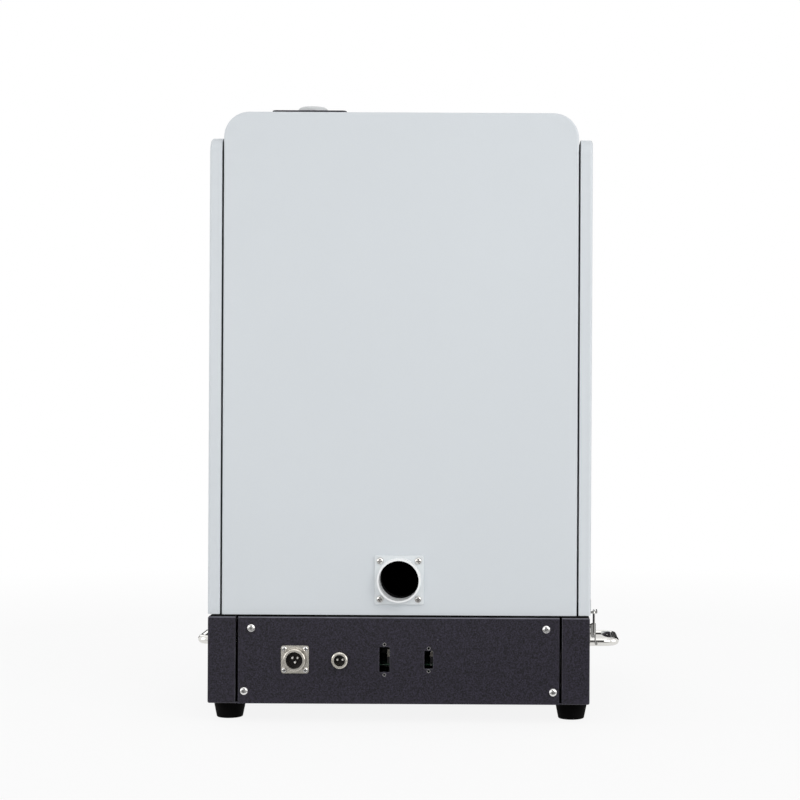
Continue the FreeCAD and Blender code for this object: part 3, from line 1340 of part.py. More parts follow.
def vent_dial():
    """The dial, its spindle and the slotted shutter disc that it turns."""
    centre = vent_centre()
    base = HOOD_Z1 + VENT_H + SHUTTER_PLAY
    dial = rod(centre.x, centre.y, base, ALONG_Z, DIAL_R, DIAL_H)
    dial = round_edges(dial, DIAL_EDGE_R, lambda edge: lies_at(edge, ALONG_Z, base + DIAL_H))
    flute_h = DIAL_H - DIAL_EDGE_R
    flutes = []
    for step in range(DIAL_FLUTES):
        flute = rod(centre.x + DIAL_R + DIAL_FLUTE_R * 0.5, centre.y, base, ALONG_Z, DIAL_FLUTE_R, flute_h)
        flutes.append(turned(flute, centre, ALONG_Z, 360 / DIAL_FLUTES * step))
    dial = dial.cut(flutes)
    shutter_z = HOOD_Z1 + SHUTTER_PLAY
    shutter = rod(centre.x, centre.y, shutter_z, ALONG_Z, SHUTTER_R, SHUTTER_T)
    shutter = shutter.cut(vent_slots(shutter_z, SHUTTER_T, 180 / VENT_SLOTS))
    spindle = rod(centre.x, centre.y, shutter_z, ALONG_Z, VENT_SPINDLE_R, base - shutter_z + 1)
    return dial.multiFuse([spindle, shutter]).removeSplitter()


# Drawer
def drawer_front():
    half_w = DRAWER_W / 2
    half_h = DRAWER_H / 2
    outer = rounded_box(
        -half_w, half_w, DRAWER_FACE, DRAWER_BACK, CHAMBER_MID - half_h, CHAMBER_MID + half_h,
        ALONG_Y, DRAWER_CORNER_R
    )
    outer = round_edges(outer, DRAWER_EDGE_R, lambda edge: lies_at(edge, ALONG_Y, DRAWER_FACE))
    half_w -= SHEET
    half_h -= SHEET
    inner = rounded_box(
        -half_w, half_w, DRAWER_FACE + SHEET, DRAWER_BACK, CHAMBER_MID - half_h, CHAMBER_MID + half_h,
        ALONG_Y, DRAWER_CORNER_R - SHEET
    )
    cuts = [inner, window_block(0, DRAWER_FACE, DRAWER_FACE + SHEET)]
    for place in grip_post_places():
        cuts.append(rod(place.x, DRAWER_FACE, place.z, ALONG_Y, BUTTON_SHANK_R, SHEET))
    return outer.cut(cuts)


def window_block(lap, y0, y1):
    half_w = WINDOW_W / 2 + lap
    half_h = WINDOW_H / 2 + lap
    return rounded_box(
        -half_w, half_w, y0, y1, CHAMBER_MID - half_h, CHAMBER_MID + half_h, ALONG_Y, WINDOW_R
    )


def drawer_back():
    half_w = DRAWER_W / 2 - SHEET - EASY_FIT
    half_h = DRAWER_H / 2 - SHEET - EASY_FIT
    y0 = DRAWER_BACK - DRAWER_BACK_T
    plate = rounded_box(
        -half_w, half_w, y0, DRAWER_BACK, CHAMBER_MID - half_h, CHAMBER_MID + half_h,
        ALONG_Y, DRAWER_CORNER_R - SHEET
    )
    return plate.cut(window_block(0, y0, DRAWER_BACK))


def window_panes():
    front_y = DRAWER_FACE + SHEET
    back_y = DRAWER_BACK - DRAWER_BACK_T
    front = window_block(GLASS_LAP, front_y, front_y + GLASS_T)
    back = window_block(GLASS_LAP, back_y - GLASS_T, back_y)
    return Part.makeCompound([front, back])


def window_frame():
    y0 = DRAWER_FACE + SHEET + GLASS_T
    y1 = DRAWER_BACK - DRAWER_BACK_T - GLASS_T
    return window_block(GLASS_LAP, y0, y1).cut(window_block(0, y0, y1))


def grip_post_places():
    return [V(side * GRIP_PITCH / 2, DRAWER_FACE, CHAMBER_MID + GRIP_UP) for side in (-1, 1)]


def drawer_handle():
    bar_y = DRAWER_FACE - GRIP_OUT + GRIP_R
    bar = rod(-GRIP_L / 2, bar_y, CHAMBER_MID + GRIP_UP, ALONG_X, GRIP_R, GRIP_L)
    bar = bar.makeChamfer(1, [edge for edge in bar.Edges if abs(edge.CenterOfMass.x) > GRIP_L / 2 - 0.01])
    posts = []
    for place in grip_post_places():
        posts.append(rod(place.x, bar_y, place.z, ALONG_Y, GRIP_POST_R, DRAWER_FACE - bar_y))
    return bar.multiFuse(posts)


def drawer_gasket():
    inner_x = CHAMBER_X + GASKET_IN
    inner_z = CHAMBER_H / 2 + GASKET_IN
    outer_x = inner_x + GASKET_W
    outer_z = inner_z + GASKET_W
    y1 = LINER_Y0 - EASY_FIT
    outer = rounded_box(
        -outer_x, outer_x, DRAWER_BACK, y1, CHAMBER_MID - outer_z, CHAMBER_MID + outer_z, ALONG_Y, GASKET_W
    )
    outer = round_edges(outer, 1, lambda edge: lies_at(edge, ALONG_Y, y1))
    return outer.cut(box(-inner_x, inner_x, DRAWER_BACK, y1, CHAMBER_MID - inner_z, CHAMBER_MID + inner_z))


def board_tray():
    y0 = DRAWER_BACK
    y1 = y0 + TRAY_D
    z1 = TRAY_Z + TRAY_BAR
    frame = box(-TRAY_X, TRAY_X, y0, y1, TRAY_Z, z1)
    frame = round_edges(frame, TRAY_BAR, lambda edge: runs_along(edge, ALONG_Z) and lies_at(edge, ALONG_Y, y1))
    inner = box(-TRAY_X + TRAY_BAR, TRAY_X - TRAY_BAR, y0 + TRAY_BAR, y1 - TRAY_BAR, TRAY_Z, z1)
    wires = []
    for step in range(TRAY_WIRES):
        y = y0 + TRAY_D * (step + 1) / (TRAY_WIRES + 1)
        half = TRAY_X - TRAY_BAR / 2
        wires.append(rod(-half, y, z1 - TRAY_WIRE_R, ALONG_X, TRAY_WIRE_R, 2 * half))
    return frame.cut(inner).multiFuse(wires)


# Drawer slides: channels nested between the cheek and the insulation, given by the distance in from the cheek
def slide_bar(depth0, depth1, y0, y1, z0, z1):
    return box(CHEEK_X0 - depth1, CHEEK_X0 - depth0, y0, y1, CHAMBER_MID + z0, CHAMBER_MID + z1)


def slide_channel(web0, web1, depth0, depth1, half_h, y0):
    """A channel with a web and two flanges."""
    y1 = SLIDE_Y0 + SLIDE_L
    pieces = []
    for side in (-1, 1):
        z0, z1 = sorted((side * (half_h - SHEET), side * half_h))
        pieces.append(slide_bar(depth0, depth1, SLIDE_Y0, y1, z0, z1))
    web = slide_bar(web0, web1, y0, y1, -half_h, half_h)
    return web.multiFuse(pieces).removeSplitter()


def slide_outer():
    half_h = SLIDE_H / 2
    channel = slide_channel(0, SHEET, 0, SLIDE_W, half_h, SLIDE_Y0)
    lips = []
    for side in (-1, 1):
        z0, z1 = sorted((side * (half_h - SLIDE_LIP), side * half_h))
        lips.append(slide_bar(SLIDE_W - SHEET, SLIDE_W, SLIDE_Y0, SLIDE_Y0 + SLIDE_L, z0, z1))
    return pair(channel.multiFuse(lips).removeSplitter())


SLIDE_FAR = SLIDE_W - SHEET - SLIDE_PLAY
SLIDE_MID_NEAR = SHEET + SLIDE_PLAY
SLIDE_MID_HALF_H = SLIDE_H / 2 - SHEET - SLIDE_PLAY


def slide_middle():
    near = SLIDE_MID_NEAR
    return pair(slide_channel(near, near + SHEET, near, SLIDE_FAR, SLIDE_MID_HALF_H, SLIDE_Y0))


def slide_inner():
    near = SLIDE_MID_NEAR + SHEET + SLIDE_PLAY
    half_h = SLIDE_MID_HALF_H - SHEET - SLIDE_PLAY
    channel = slide_channel(SLIDE_FAR - SHEET, SLIDE_FAR, near, SLIDE_FAR, half_h, DRAWER_BACK)
    tab = slide_bar(0, SLIDE_FAR, DRAWER_BACK, DRAWER_BACK + SHEET, -half_h, half_h)
    return pair(channel.fuse(tab).removeSplitter())


# Controls on the hood's front
def fascia_hole(x, z, radius, length):
    return rod(x, HOOD_FRONT - length, z, ALONG_Y, radius, length)


def screen_block(lap, y0, y1):
    half_w = SCREEN_W / 2 + lap
    half_h = SCREEN_H / 2 + lap
    return box(SCREEN_X - half_w, SCREEN_X + half_w, y0, y1, FASCIA_Z - half_h, FASCIA_Z + half_h)


def control_fascia():
    half_w = FASCIA_X
    half_h = FASCIA_H / 2
    fascia = rounded_box(
        -half_w, half_w, FASCIA_FACE, HOOD_FRONT, FASCIA_Z - half_h, FASCIA_Z + half_h, ALONG_Y, FASCIA_R
    )
    fascia = round_edges(fascia, 1, lambda edge: lies_at(edge, ALONG_Y, FASCIA_FACE))
    collar_face = FASCIA_FACE - STOP_COLLAR_H
    collar = rod(STOP_X, collar_face, FASCIA_Z, ALONG_Y, STOP_COLLAR_R, STOP_COLLAR_H)
    collar = round_edges(collar, 1.5, lambda edge: lies_at(edge, ALONG_Y, collar_face))
    fascia = fascia.fuse(collar).removeSplitter()
    cuts = [screen_block(EASY_FIT, FASCIA_FACE, HOOD_FRONT)]
    for side in (-1, 1):
        cuts.append(fascia_hole(KEY_X, FASCIA_Z + side * KEY_PITCH / 2, KEY_R + EASY_FIT / 2, FASCIA_T))
    cuts.append(fascia_hole(KNOB_X, FASCIA_Z, KNOB_SHAFT_R + RUN_FIT, FASCIA_T))
    cuts.append(fascia_hole(STOP_X, FASCIA_Z, STOP_STEM_R + EASY_FIT / 2, FASCIA_T + STOP_COLLAR_H))
    return fascia.cut(cuts)


def display_screen():
    glass = screen_block(0, FASCIA_FACE, HOOD_FRONT)
    back = screen_block(SCREEN_LAP, HOOD_FRONT, HOOD_FRONT + SCREEN_BACK)
    return glass.fuse(back).removeSplitter()


def key(z):
    face = FASCIA_FACE - KEY_PROUD
    cap = rod(KEY_X, face, z, ALONG_Y, KEY_R, HOOD_FRONT + KEY_STOP_GAP - face)
    cap = round_edges(cap, 1.2, lambda edge: lies_at(edge, ALONG_Y, face))
    flange = rod(KEY_X, HOOD_FRONT + KEY_STOP_GAP, z, ALONG_Y, KEY_FLANGE_R, KEY_FLANGE_T)
    return cap.fuse(flange).removeSplitter()


def key_start():
    return key(FASCIA_Z + KEY_PITCH / 2)


def key_stop():
    return key(FASCIA_Z - KEY_PITCH / 2)


def setting_knob():
    base = FASCIA_FACE - FAN_END_GAP
    face = base - KNOB_H
    knob = Part.makeCone(KNOB_R * 0.92, KNOB_R, KNOB_H, V(KNOB_X, face, FASCIA_Z), ALONG_Y)
    knob = round_edges(knob, KNOB_EDGE_R, lambda edge: lies_at(edge, ALONG_Y, face))
    flutes = []
    for step in range(KNOB_FLUTES):
        flute = rod(KNOB_X + KNOB_R + KNOB_FLUTE_R * 0.3, face, FASCIA_Z, ALONG_Y, KNOB_FLUTE_R, KNOB_H * 0.8)
        flutes.append(turned(flute, V(KNOB_X, face, FASCIA_Z), ALONG_Y, 360 / KNOB_FLUTES * step))
    knob = knob.cut(flutes)
    shaft = rod(KNOB_X, base - 1, FASCIA_Z, ALONG_Y, KNOB_SHAFT_R, KNOB_SHAFT_L)
    return knob.fuse(shaft).removeSplitter()


def stop_button():
    seat = FASCIA_FACE - STOP_COLLAR_H - STOP_CAP_GAP
    face = seat - STOP_CAP_H
    cap = rod(STOP_X, face, FASCIA_Z, ALONG_Y, STOP_CAP_R, STOP_CAP_H)
    cap = round_edges(cap, STOP_CAP_EDGE_R, lambda edge: lies_at(edge, ALONG_Y, face))
    stem = rod(STOP_X, seat, FASCIA_Z, ALONG_Y, STOP_STEM_R, HOOD_FRONT + KEY_STOP_GAP - seat)
    stopper = rod(
        STOP_X, HOOD_FRONT + KEY_STOP_GAP, FASCIA_Z, ALONG_Y, STOP_STEM_R + KEY_FLANGE_T, KEY_FLANGE_T
    )
    return cap.multiFuse([stem, stopper]).removeSplitter()


# Mains switch
def rocker_pivot():
    return V(SWITCH_X, FRONT_Y + ROCKER_PIVOT_IN, SOCKET_Z)


def switch_half_w():
    return SWITCH_BEZEL_W / 2 - SWITCH_LIP


def switch_housing():
    half_w = SWITCH_BEZEL_W / 2
    half_h = SWITCH_BEZEL_H / 2
    face = FRONT_Y - SWITCH_BEZEL_T
    bezel = rounded_box(
        SWITCH_X - half_w, SWITCH_X + half_w, face, FRONT_Y, SOCKET_Z - half_h, SOCKET_Z + half_h,
        ALONG_Y, SWITCH_BEZEL_R
    )
    bezel = round_edges(bezel, 1, lambda edge: lies_at(edge, ALONG_Y, face))
    half_w = switch_half_w()
    half_h = SWITCH_BEZEL_H / 2 - SWITCH_LIP
    end = FRONT_Y + SWITCH_BODY_L
    body = box(SWITCH_X - half_w, SWITCH_X + half_w, FRONT_Y, end, SOCKET_Z - half_h, SOCKET_Z + half_h)
    housing = bezel.fuse(body).removeSplitter()
    half_w -= SWITCH_WALL
    half_h = ROCKER_R + ROCKER_SIDE_GAP
    well = box(
        SWITCH_X - half_w, SWITCH_X + half_w, face, end - SWITCH_WALL, SOCKET_Z - half_h, SOCKET_Z + half_h
    )
    pivot = rocker_pivot()
    pin_l = 2 * (half_w + ROCKER_PIN_L)
    pin_hole = rod(pivot.x - pin_l / 2, pivot.y, pivot.z, ALONG_X, ROCKER_PIN_R + RUN_FIT, pin_l)
    return housing.cut([well, pin_hole])


def switch_rocker():
    pivot = rocker_pivot()
    half_w = switch_half_w() - SWITCH_WALL - ROCKER_SIDE_GAP
    drum = rod(pivot.x - half_w, pivot.y, pivot.z, ALONG_X, ROCKER_R, 2 * half_w)
    lean = ROCKER_R * math.tan(math.radians(ROCKER_TILT))
    waist = pivot.y - ROCKER_FRONT
    outline = [
        V(pivot.x - half_w, waist, pivot.z),
        V(pivot.x - half_w, waist - lean, pivot.z + ROCKER_R),
        V(pivot.x - half_w, pivot.y + ROCKER_BACK, pivot.z + ROCKER_R),
        V(pivot.x - half_w, pivot.y + ROCKER_BACK, pivot.z - ROCKER_R),
        V(pivot.x - half_w, waist - lean, pivot.z - ROCKER_R),
    ]
    block = Part.Face(Part.makePolygon(outline + [outline[0]])).extrude(ALONG_X * (2 * half_w))
    rocker = drum.common(block)
    pin_l = 2 * (half_w + ROCKER_SIDE_GAP + ROCKER_PIN_L - RUN_FIT)
    rocker = rocker.fuse(rod(pivot.x - pin_l / 2, pivot.y, pivot.z, ALONG_X, ROCKER_PIN_R, pin_l))
    return turned(rocker, pivot, ALONG_X, ROCKER_TILT)


# Electronics in the plinth
def power_supply():
    x0 = SUPPLY_X - SUPPLY_W / 2
    x1 = SUPPLY_X + SUPPLY_W / 2
    y0 = FRONT_Y + SUPPLY_FROM_FRONT
    y1 = y0 + SUPPLY_D
    z1 = FLOOR_Z + SUPPLY_H
    case = box(x0, x1, y0, y1, FLOOR_Z, z1)
    case = round_edges(case, 1.2, lambda edge: runs_along(edge, ALONG_Y) and lies_at(edge, ALONG_Z, z1))
    case = case.cut(box(x0 + DUCT_T, x1 - DUCT_T, y0 + DUCT_T, y1 - DUCT_T, FLOOR_Z + DUCT_T, z1 - DUCT_T))
    slots = []
    for step in range(SUPPLY_SLOTS):
        y = y0 + SUPPLY_D * (step + 1) / (SUPPLY_SLOTS + 1)
        slots.append(box(x0 + 14, x1 - 14, y - SUPPLY_SLOT_W / 2, y + SUPPLY_SLOT_W / 2, z1 - DUCT_T, z1))
    return case.cut(slots)


def control_board():
    x0 = BOARD_X - BOARD_W / 2
    x1 = BOARD_X + BOARD_W / 2
    y1 = REAR_Y - BOARD_FROM_REAR
    y0 = y1 - BOARD_D
    z0 = FLOOR_Z + STUD_H
    top = z0 + BOARD_T
    board = box(x0, x1, y0, y1, z0, top)
    seat = top - LEAD_IN
    pieces = []
    for place in (CONNECTOR_OFF, CONNECTOR_OFF - CONNECTOR_PITCH):
        pieces.append(board_block(place, y1 - CONNECTOR_IN, CONNECTOR_W, CONNECTOR_D, CONNECTOR_H))
    pieces.append(board_block(0, y1 - CHIP_IN, CHIP_W, CHIP_W, CHIP_H))
    pieces.append(board_block(COIL_OFF, y1 - COIL_IN, COIL_W, COIL_D, COIL_H))
    for step in range(CAPACITORS):
        x = BOARD_X + CAPACITOR_OFF + CAPACITOR_PITCH * step
        pieces.append(rod(x, y1 - CAPACITOR_IN, seat, ALONG_Z, CAPACITOR_R, CAPACITOR_H))
    return board.multiFuse(pieces).removeSplitter()


def board_block(off, y1, width, depth, height):
    """A block on the control board, its rear face at y1."""
    x = BOARD_X + off
    seat = FLOOR_Z + STUD_H + BOARD_T - LEAD_IN
    return box(x - width / 2, x + width / 2, y1 - depth, y1, seat, seat + height)


def solid_state_relays():
    relays = []
    for side in (-1, 1):
        y = MIDDLE_Y + side * RELAY_PITCH / 2 + RELAY_PITCH / 2
        relay = rounded_box(
            RELAY_X - RELAY_W / 2, RELAY_X + RELAY_W / 2, y - RELAY_D / 2, y + RELAY_D / 2,
            FLOOR_Z, FLOOR_Z + RELAY_H, ALONG_Z, 2
        )
        for end in (-1, 1):
            for across in (-1, 1):
                well_x = RELAY_X + across * RELAY_W / 4
                well_y = y + end * (RELAY_D / 2 - 7)
                relay = relay.cut(rod(well_x, well_y, FLOOR_Z + RELAY_H - 8, ALONG_Z, 5, 8))
        relays.append(relay)
    return Part.makeCompound(relays)


PIECES = [
    plinth_pan, deck_plate, rear_plate, front_plate, button_screws, rubber_feet,
    socket_shells, socket_inserts, socket_pins, socket_screws,
    side_handles, latch_plate, latch_lever, latch_bail, latch_keeper,
    hood_shell, rear_panel, front_panel, side_panel_left, side_panel_right,
    exhaust_spigot, spigot_screws, exhaust_fan_frame, exhaust_fan_rotor, fume_duct,
    chamber_frame, chamber_liner, insulation_boards, diffuser_plate, heater_tubes, heater_caps,
    thermocouple, circulation_motor, circulation_fan, vent_plate, vent_dial,
    drawer_front, drawer_back, window_panes, window_frame, drawer_handle, drawer_gasket, board_tray,
    slide_outer, slide_middle, slide_inner,
    control_fascia, display_screen, key_start, key_stop, setting_knob, stop_button,
    switch_housing, switch_rocker,
    power_supply, control_board, solid_state_relays, cooling_fan_frame, cooling_fan_rotor,
]


def main():
    os.makedirs("parts", exist_ok=True)
    for piece in PIECES:
        piece().exportStep("parts/" + piece.__name__ + ".step")


main()
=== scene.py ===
import json
import math
import bpy
from mathutils import Euler, Matrix, Vector


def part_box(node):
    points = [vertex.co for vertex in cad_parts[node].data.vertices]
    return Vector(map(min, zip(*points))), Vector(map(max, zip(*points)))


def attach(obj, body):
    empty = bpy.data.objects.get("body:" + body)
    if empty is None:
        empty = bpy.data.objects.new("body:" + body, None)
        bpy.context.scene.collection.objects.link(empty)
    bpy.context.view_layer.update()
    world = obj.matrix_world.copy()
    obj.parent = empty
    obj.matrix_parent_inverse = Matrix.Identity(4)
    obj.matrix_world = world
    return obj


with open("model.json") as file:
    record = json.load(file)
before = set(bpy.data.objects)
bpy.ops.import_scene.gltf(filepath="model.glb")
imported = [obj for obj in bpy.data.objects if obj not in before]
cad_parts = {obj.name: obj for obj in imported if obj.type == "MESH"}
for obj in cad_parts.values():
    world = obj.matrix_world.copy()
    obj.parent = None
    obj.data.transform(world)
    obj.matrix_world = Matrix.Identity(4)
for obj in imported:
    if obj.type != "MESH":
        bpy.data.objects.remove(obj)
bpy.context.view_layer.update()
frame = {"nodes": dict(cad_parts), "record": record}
nodes = frame["nodes"]


# Node helpers
def put(tree, kind, options=None, **inputs):
    """Adds a shader node, sets its options, and fills or links its inputs by name."""
    node = tree.nodes.new(kind)
    for key, value in (options or {}).items():
        setattr(node, key, value)
    for key, value in inputs.items():
        fill(tree, node.inputs[key.replace("_", " ")], value)
    return node


def fill(tree, socket, value):
    if isinstance(value, bpy.types.NodeSocket):
        tree.links.new(value, socket)
    else:
        socket.default_value = value


def sums(tree, operation, first, second):
    node = tree.nodes.new("ShaderNodeMath")
    node.operation = operation
    fill(tree, node.inputs[0], first)
    fill(tree, node.inputs[1], second)
    return node.outputs[0]


def spread(tree, value, low, high, to_low=0.0, to_high=1.0):
    """Maps a value from one range to another, and keeps it inside."""
    node = put(tree, "ShaderNodeMapRange", Value=value)
    for label, end in (("From Min", low), ("From Max", high), ("To Min", to_low), ("To Max", to_high)):
        fill(tree, node.inputs[label], end)
    return node.outputs[0]


# The mix node has a set of sockets for each kind of value, and these are the ones for colours.
MIX_AMOUNT, MIX_FIRST, MIX_SECOND, MIX_RESULT = 0, 6, 7, 2


def tint(tree, amount, first, second):
    node = tree.nodes.new("ShaderNodeMix")
    node.data_type = "RGBA"
    fill(tree, node.inputs[MIX_AMOUNT], amount)
    fill(tree, node.inputs[MIX_FIRST], first)
    fill(tree, node.inputs[MIX_SECOND], second)
    return node.outputs[MIX_RESULT]


def noise(tree, place, scale, detail=2.0, roughness=0.5):
    node = put(tree, "ShaderNodeTexNoise", Vector=place, Scale=scale, Detail=detail, Roughness=roughness)
    return node.outputs[0]


def own_place(tree):
    return put(tree, "ShaderNodeTexCoord").outputs["Object"]


def new_group(name, inputs, outputs):
    group = bpy.data.node_groups.new(name, "ShaderNodeTree")
    for label, kind in inputs:
        group.interface.new_socket(label, in_out="INPUT", socket_type=kind)
    for label, kind in outputs:
        group.interface.new_socket(label, in_out="OUTPUT", socket_type=kind)
    given = group.nodes.new("NodeGroupInput").outputs
    result = group.nodes.new("NodeGroupOutput").inputs
    return group, given, result


COLOUR = "NodeSocketColor"
NUMBER = "NodeSocketFloat"
SURFACE = [("Colour", COLOUR), ("Roughness", NUMBER), ("Height", NUMBER)]


# Finishes that several materials share
EDGE_FLAT = 0.985
EDGE_SHARP = 0.8
WEAR_AND_HIGHLIGHT_WIDTH = 0.0011
# Painted shade with old grease: the colour that recesses in plating darken to.
GREASE_AND_SHADE = (0.012, 0.011, 0.01, 1)
SEAM_SHADE = (0.004, 0.004, 0.0045, 1)
SPECK_SIZE = 0.11
SPECK_LEAST = 0.035
ROUGH_DRIFT = 0.16
DULL_DIRT = 0.3
LINE_SHARE = 0.65
CLOUD_SHARE = 0.35
SCRATCH_LINES = (900.0, 60.0, 340.0)
SCRATCH_SHARE = 0.6
LINE_ROUGH = -0.5
SMEAR_ROUGH = 0.25
DIRT_ROUGH = 0.4
SHINE_ROUGH = -0.14
WORN_SHARE = 0.5


def edge_rub():
    """How much a point lies on a sharp edge, broken up as handling rubs it: a mask for worn paint there,
    and for a painted highlight along the edge.
    """
    group, given, result = new_group("edge_rub", [("Width", NUMBER), ("Wear", NUMBER)], [("Mask", NUMBER)])
    round_way = put(group, "ShaderNodeBevel", {"samples": 4}, Radius=given["Width"]).outputs[0]
    flat_way = put(group, "ShaderNodeNewGeometry").outputs["Normal"]
    turn = put(group, "ShaderNodeVectorMath", {"operation": "DOT_PRODUCT"})
    group.links.new(round_way, turn.inputs[0])
    group.links.new(flat_way, turn.inputs[1])
    edge = spread(group, turn.outputs["Value"], EDGE_FLAT, EDGE_SHARP)
    patchy = noise(group, own_place(group), scale=60.0, detail=4.0, roughness=0.65)
    broken = spread(group, patchy, 0.35, 0.62, to_low=0.25, to_high=1.0)
    worn_and_lit = sums(group, "MULTIPLY", sums(group, "MULTIPLY", edge, broken), given["Wear"])
    group.links.new(worn_and_lit, result["Mask"])
    return group


def crevice_dirt():
    """How deep a point lies in a recess or a corner, by ambient occlusion: a mask for painted shade there,
    and for old grease that dulls it.
    """
    asked = [("Reach", NUMBER), ("Clean", NUMBER), ("Full", NUMBER), ("Dirt", NUMBER)]
    group, given, result = new_group("crevice_dirt", asked, [("Mask", NUMBER)])
    # Painted shade: the mask rises where ambient occlusion finds a corner or a recess.
    openness = put(group, "ShaderNodeAmbientOcclusion", {"samples": 8}, Distance=given["Reach"])
    shut = spread(group, openness.outputs["AO"], given["Clean"], given["Full"])
    group.links.new(sums(group, "MULTIPLY", shut, given["Dirt"]), result["Mask"])
    return group


EDGES = edge_rub()
SHADED_CREVICES = crevice_dirt()


def powder_coat():
    """Baked powder paint: fine grain, slow drifts of tone, rubbed edges with a painted highlight along
    them, painted shade in seams and corners, and specks of dust.
    """
    asked = [
        ("Colour", COLOUR), ("Dust Colour", COLOUR), ("Edge Colour", COLOUR), ("Grain", NUMBER),
        ("Mottle", NUMBER), ("Drift", NUMBER), ("Dust", NUMBER), ("Edge", NUMBER), ("Seam", NUMBER),
        ("Rough", NUMBER),
    ]
    group, given, result = new_group("powder_coat", asked, SURFACE)
    place = own_place(group)
    grain = noise(group, place, given["Grain"], detail=3.0, roughness=0.6)
    broad = sums(group, "SUBTRACT", noise(group, place, scale=4.0, detail=3.0), 0.5)
    change = sums(group, "MULTIPLY", broad, given["Drift"])
    mottle = sums(group, "MULTIPLY", sums(group, "SUBTRACT", grain, 0.5), given["Mottle"])
    value = sums(group, "ADD", sums(group, "ADD", change, mottle), 1.0)
    toned = put(group, "ShaderNodeHueSaturation", Value=value, Color=given["Colour"]).outputs[0]
    cell = put(group, "ShaderNodeTexVoronoi", Vector=place, Scale=95.0)
    size = sums(group, "MULTIPLY", noise(group, place, scale=23.0, detail=1.0), SPECK_SIZE)
    speck = sums(group, "LESS_THAN", cell.outputs["Distance"], sums(group, "SUBTRACT", size, SPECK_LEAST))
    dust = sums(group, "MULTIPLY", speck, given["Dust"])
    wear_and_highlight = put(group, "ShaderNodeGroup", {"node_tree": EDGES}, Width=WEAR_AND_HIGHLIGHT_WIDTH, Wear=given["Edge"])
    # Painted highlight with wear: sharp edges turn towards the lighter Edge Colour.
    rubbed_and_lit = tint(group, wear_and_highlight.outputs[0], toned, given["Edge Colour"])
    dusty = tint(group, dust, rubbed_and_lit, given["Dust Colour"])
    # Painted shade: seams and corners that ambient occlusion finds darken towards SEAM_SHADE and turn
    # duller.
    seam = put(
        group, "ShaderNodeGroup", {"node_tree": SHADED_CREVICES},
        Reach=0.006, Clean=0.5, Full=0.2, Dirt=given["Seam"],
    ).outputs[0]
    group.links.new(tint(group, seam, dusty, SEAM_SHADE), result["Colour"])
    rough = sums(group, "ADD", given["Rough"], sums(group, "MULTIPLY", broad, ROUGH_DRIFT))
    dull = sums(group, "MULTIPLY", sums(group, "ADD", dust, seam), DULL_DIRT)
    group.links.new(sums(group, "ADD", rough, dull), result["Roughness"])
    group.links.new(grain, result["Height"])
    return group


def drawn_metal():
    """Rolled or brushed metal with fine lines along one way and cloudy handling marks."""
    asked = [("Colour", COLOUR), ("Lines", "NodeSocketVector"), ("Rough", NUMBER), ("Contrast", NUMBER)]
    group, given, result = new_group("drawn_metal", asked, SURFACE)
    place = own_place(group)
    along = put(group, "ShaderNodeMapping", Vector=place, Scale=given["Lines"]).outputs[0]
    lines = noise(group, along, scale=1.0, detail=4.0, roughness=0.65)
    cloud = noise(group, place, scale=26.0, detail=3.0, roughness=0.6)
    both = sums(group, "MULTIPLY", lines, LINE_SHARE), sums(group, "MULTIPLY", cloud, CLOUD_SHARE)
    mixed = sums(group, "ADD", *both)
    swing = sums(group, "MULTIPLY", sums(group, "SUBTRACT", mixed, 0.5), given["Contrast"])
    value = sums(group, "ADD", swing, 1.0)
    toned = put(group, "ShaderNodeHueSaturation", Value=value, Color=given["Colour"])
    group.links.new(toned.outputs[0], result["Colour"])
    rough = sums(group, "ADD", given["Rough"], sums(group, "MULTIPLY", swing, LINE_ROUGH))
    group.links.new(rough, result["Roughness"])
    group.links.new(lines, result["Height"])
    return group


def handled_gloss():
    """Plating, glass or gloss plastic: smooth, with faint smears and fine scratches."""
    asked = [
        ("Colour", COLOUR), ("Smear Colour", COLOUR),
        ("Smear", NUMBER), ("Dirt", NUMBER), ("Rough", NUMBER),
    ]
    group, given, result = new_group("handled_gloss", asked, SURFACE)
    place = own_place(group)
    smear = spread(group, noise(group, place, scale=34.0, detail=4.0, roughness=0.62), 0.46, 0.72)
    long_way = put(group, "ShaderNodeMapping", Vector=place, Scale=SCRATCH_LINES).outputs[0]
    scratch = spread(group, noise(group, long_way, scale=1.0, detail=2.0), 0.66, 0.74)
    marks = sums(group, "MAXIMUM", smear, sums(group, "MULTIPLY", scratch, SCRATCH_SHARE))
    marks = sums(group, "MULTIPLY", marks, given["Smear"])
    # Painted shade with old grease: recesses and corners of the plating darken and turn rougher.
    shade_and_dirt = put(
        group, "ShaderNodeGroup", {"node_tree": SHADED_CREVICES},
        Reach=0.002, Clean=0.8, Full=0.45, Dirt=given["Dirt"],
    ).outputs[0]
    smeared = tint(group, marks, given["Colour"], given["Smear Colour"])
    group.links.new(tint(group, shade_and_dirt, smeared, GREASE_AND_SHADE), result["Colour"])
    rough = sums(group, "ADD", given["Rough"], sums(group, "MULTIPLY", marks, SMEAR_ROUGH))
    rough = sums(group, "ADD", rough, sums(group, "MULTIPLY", shade_and_dirt, DIRT_ROUGH))
    group.links.new(rough, result["Roughness"])
    group.links.new(smear, result["Height"])
    return group


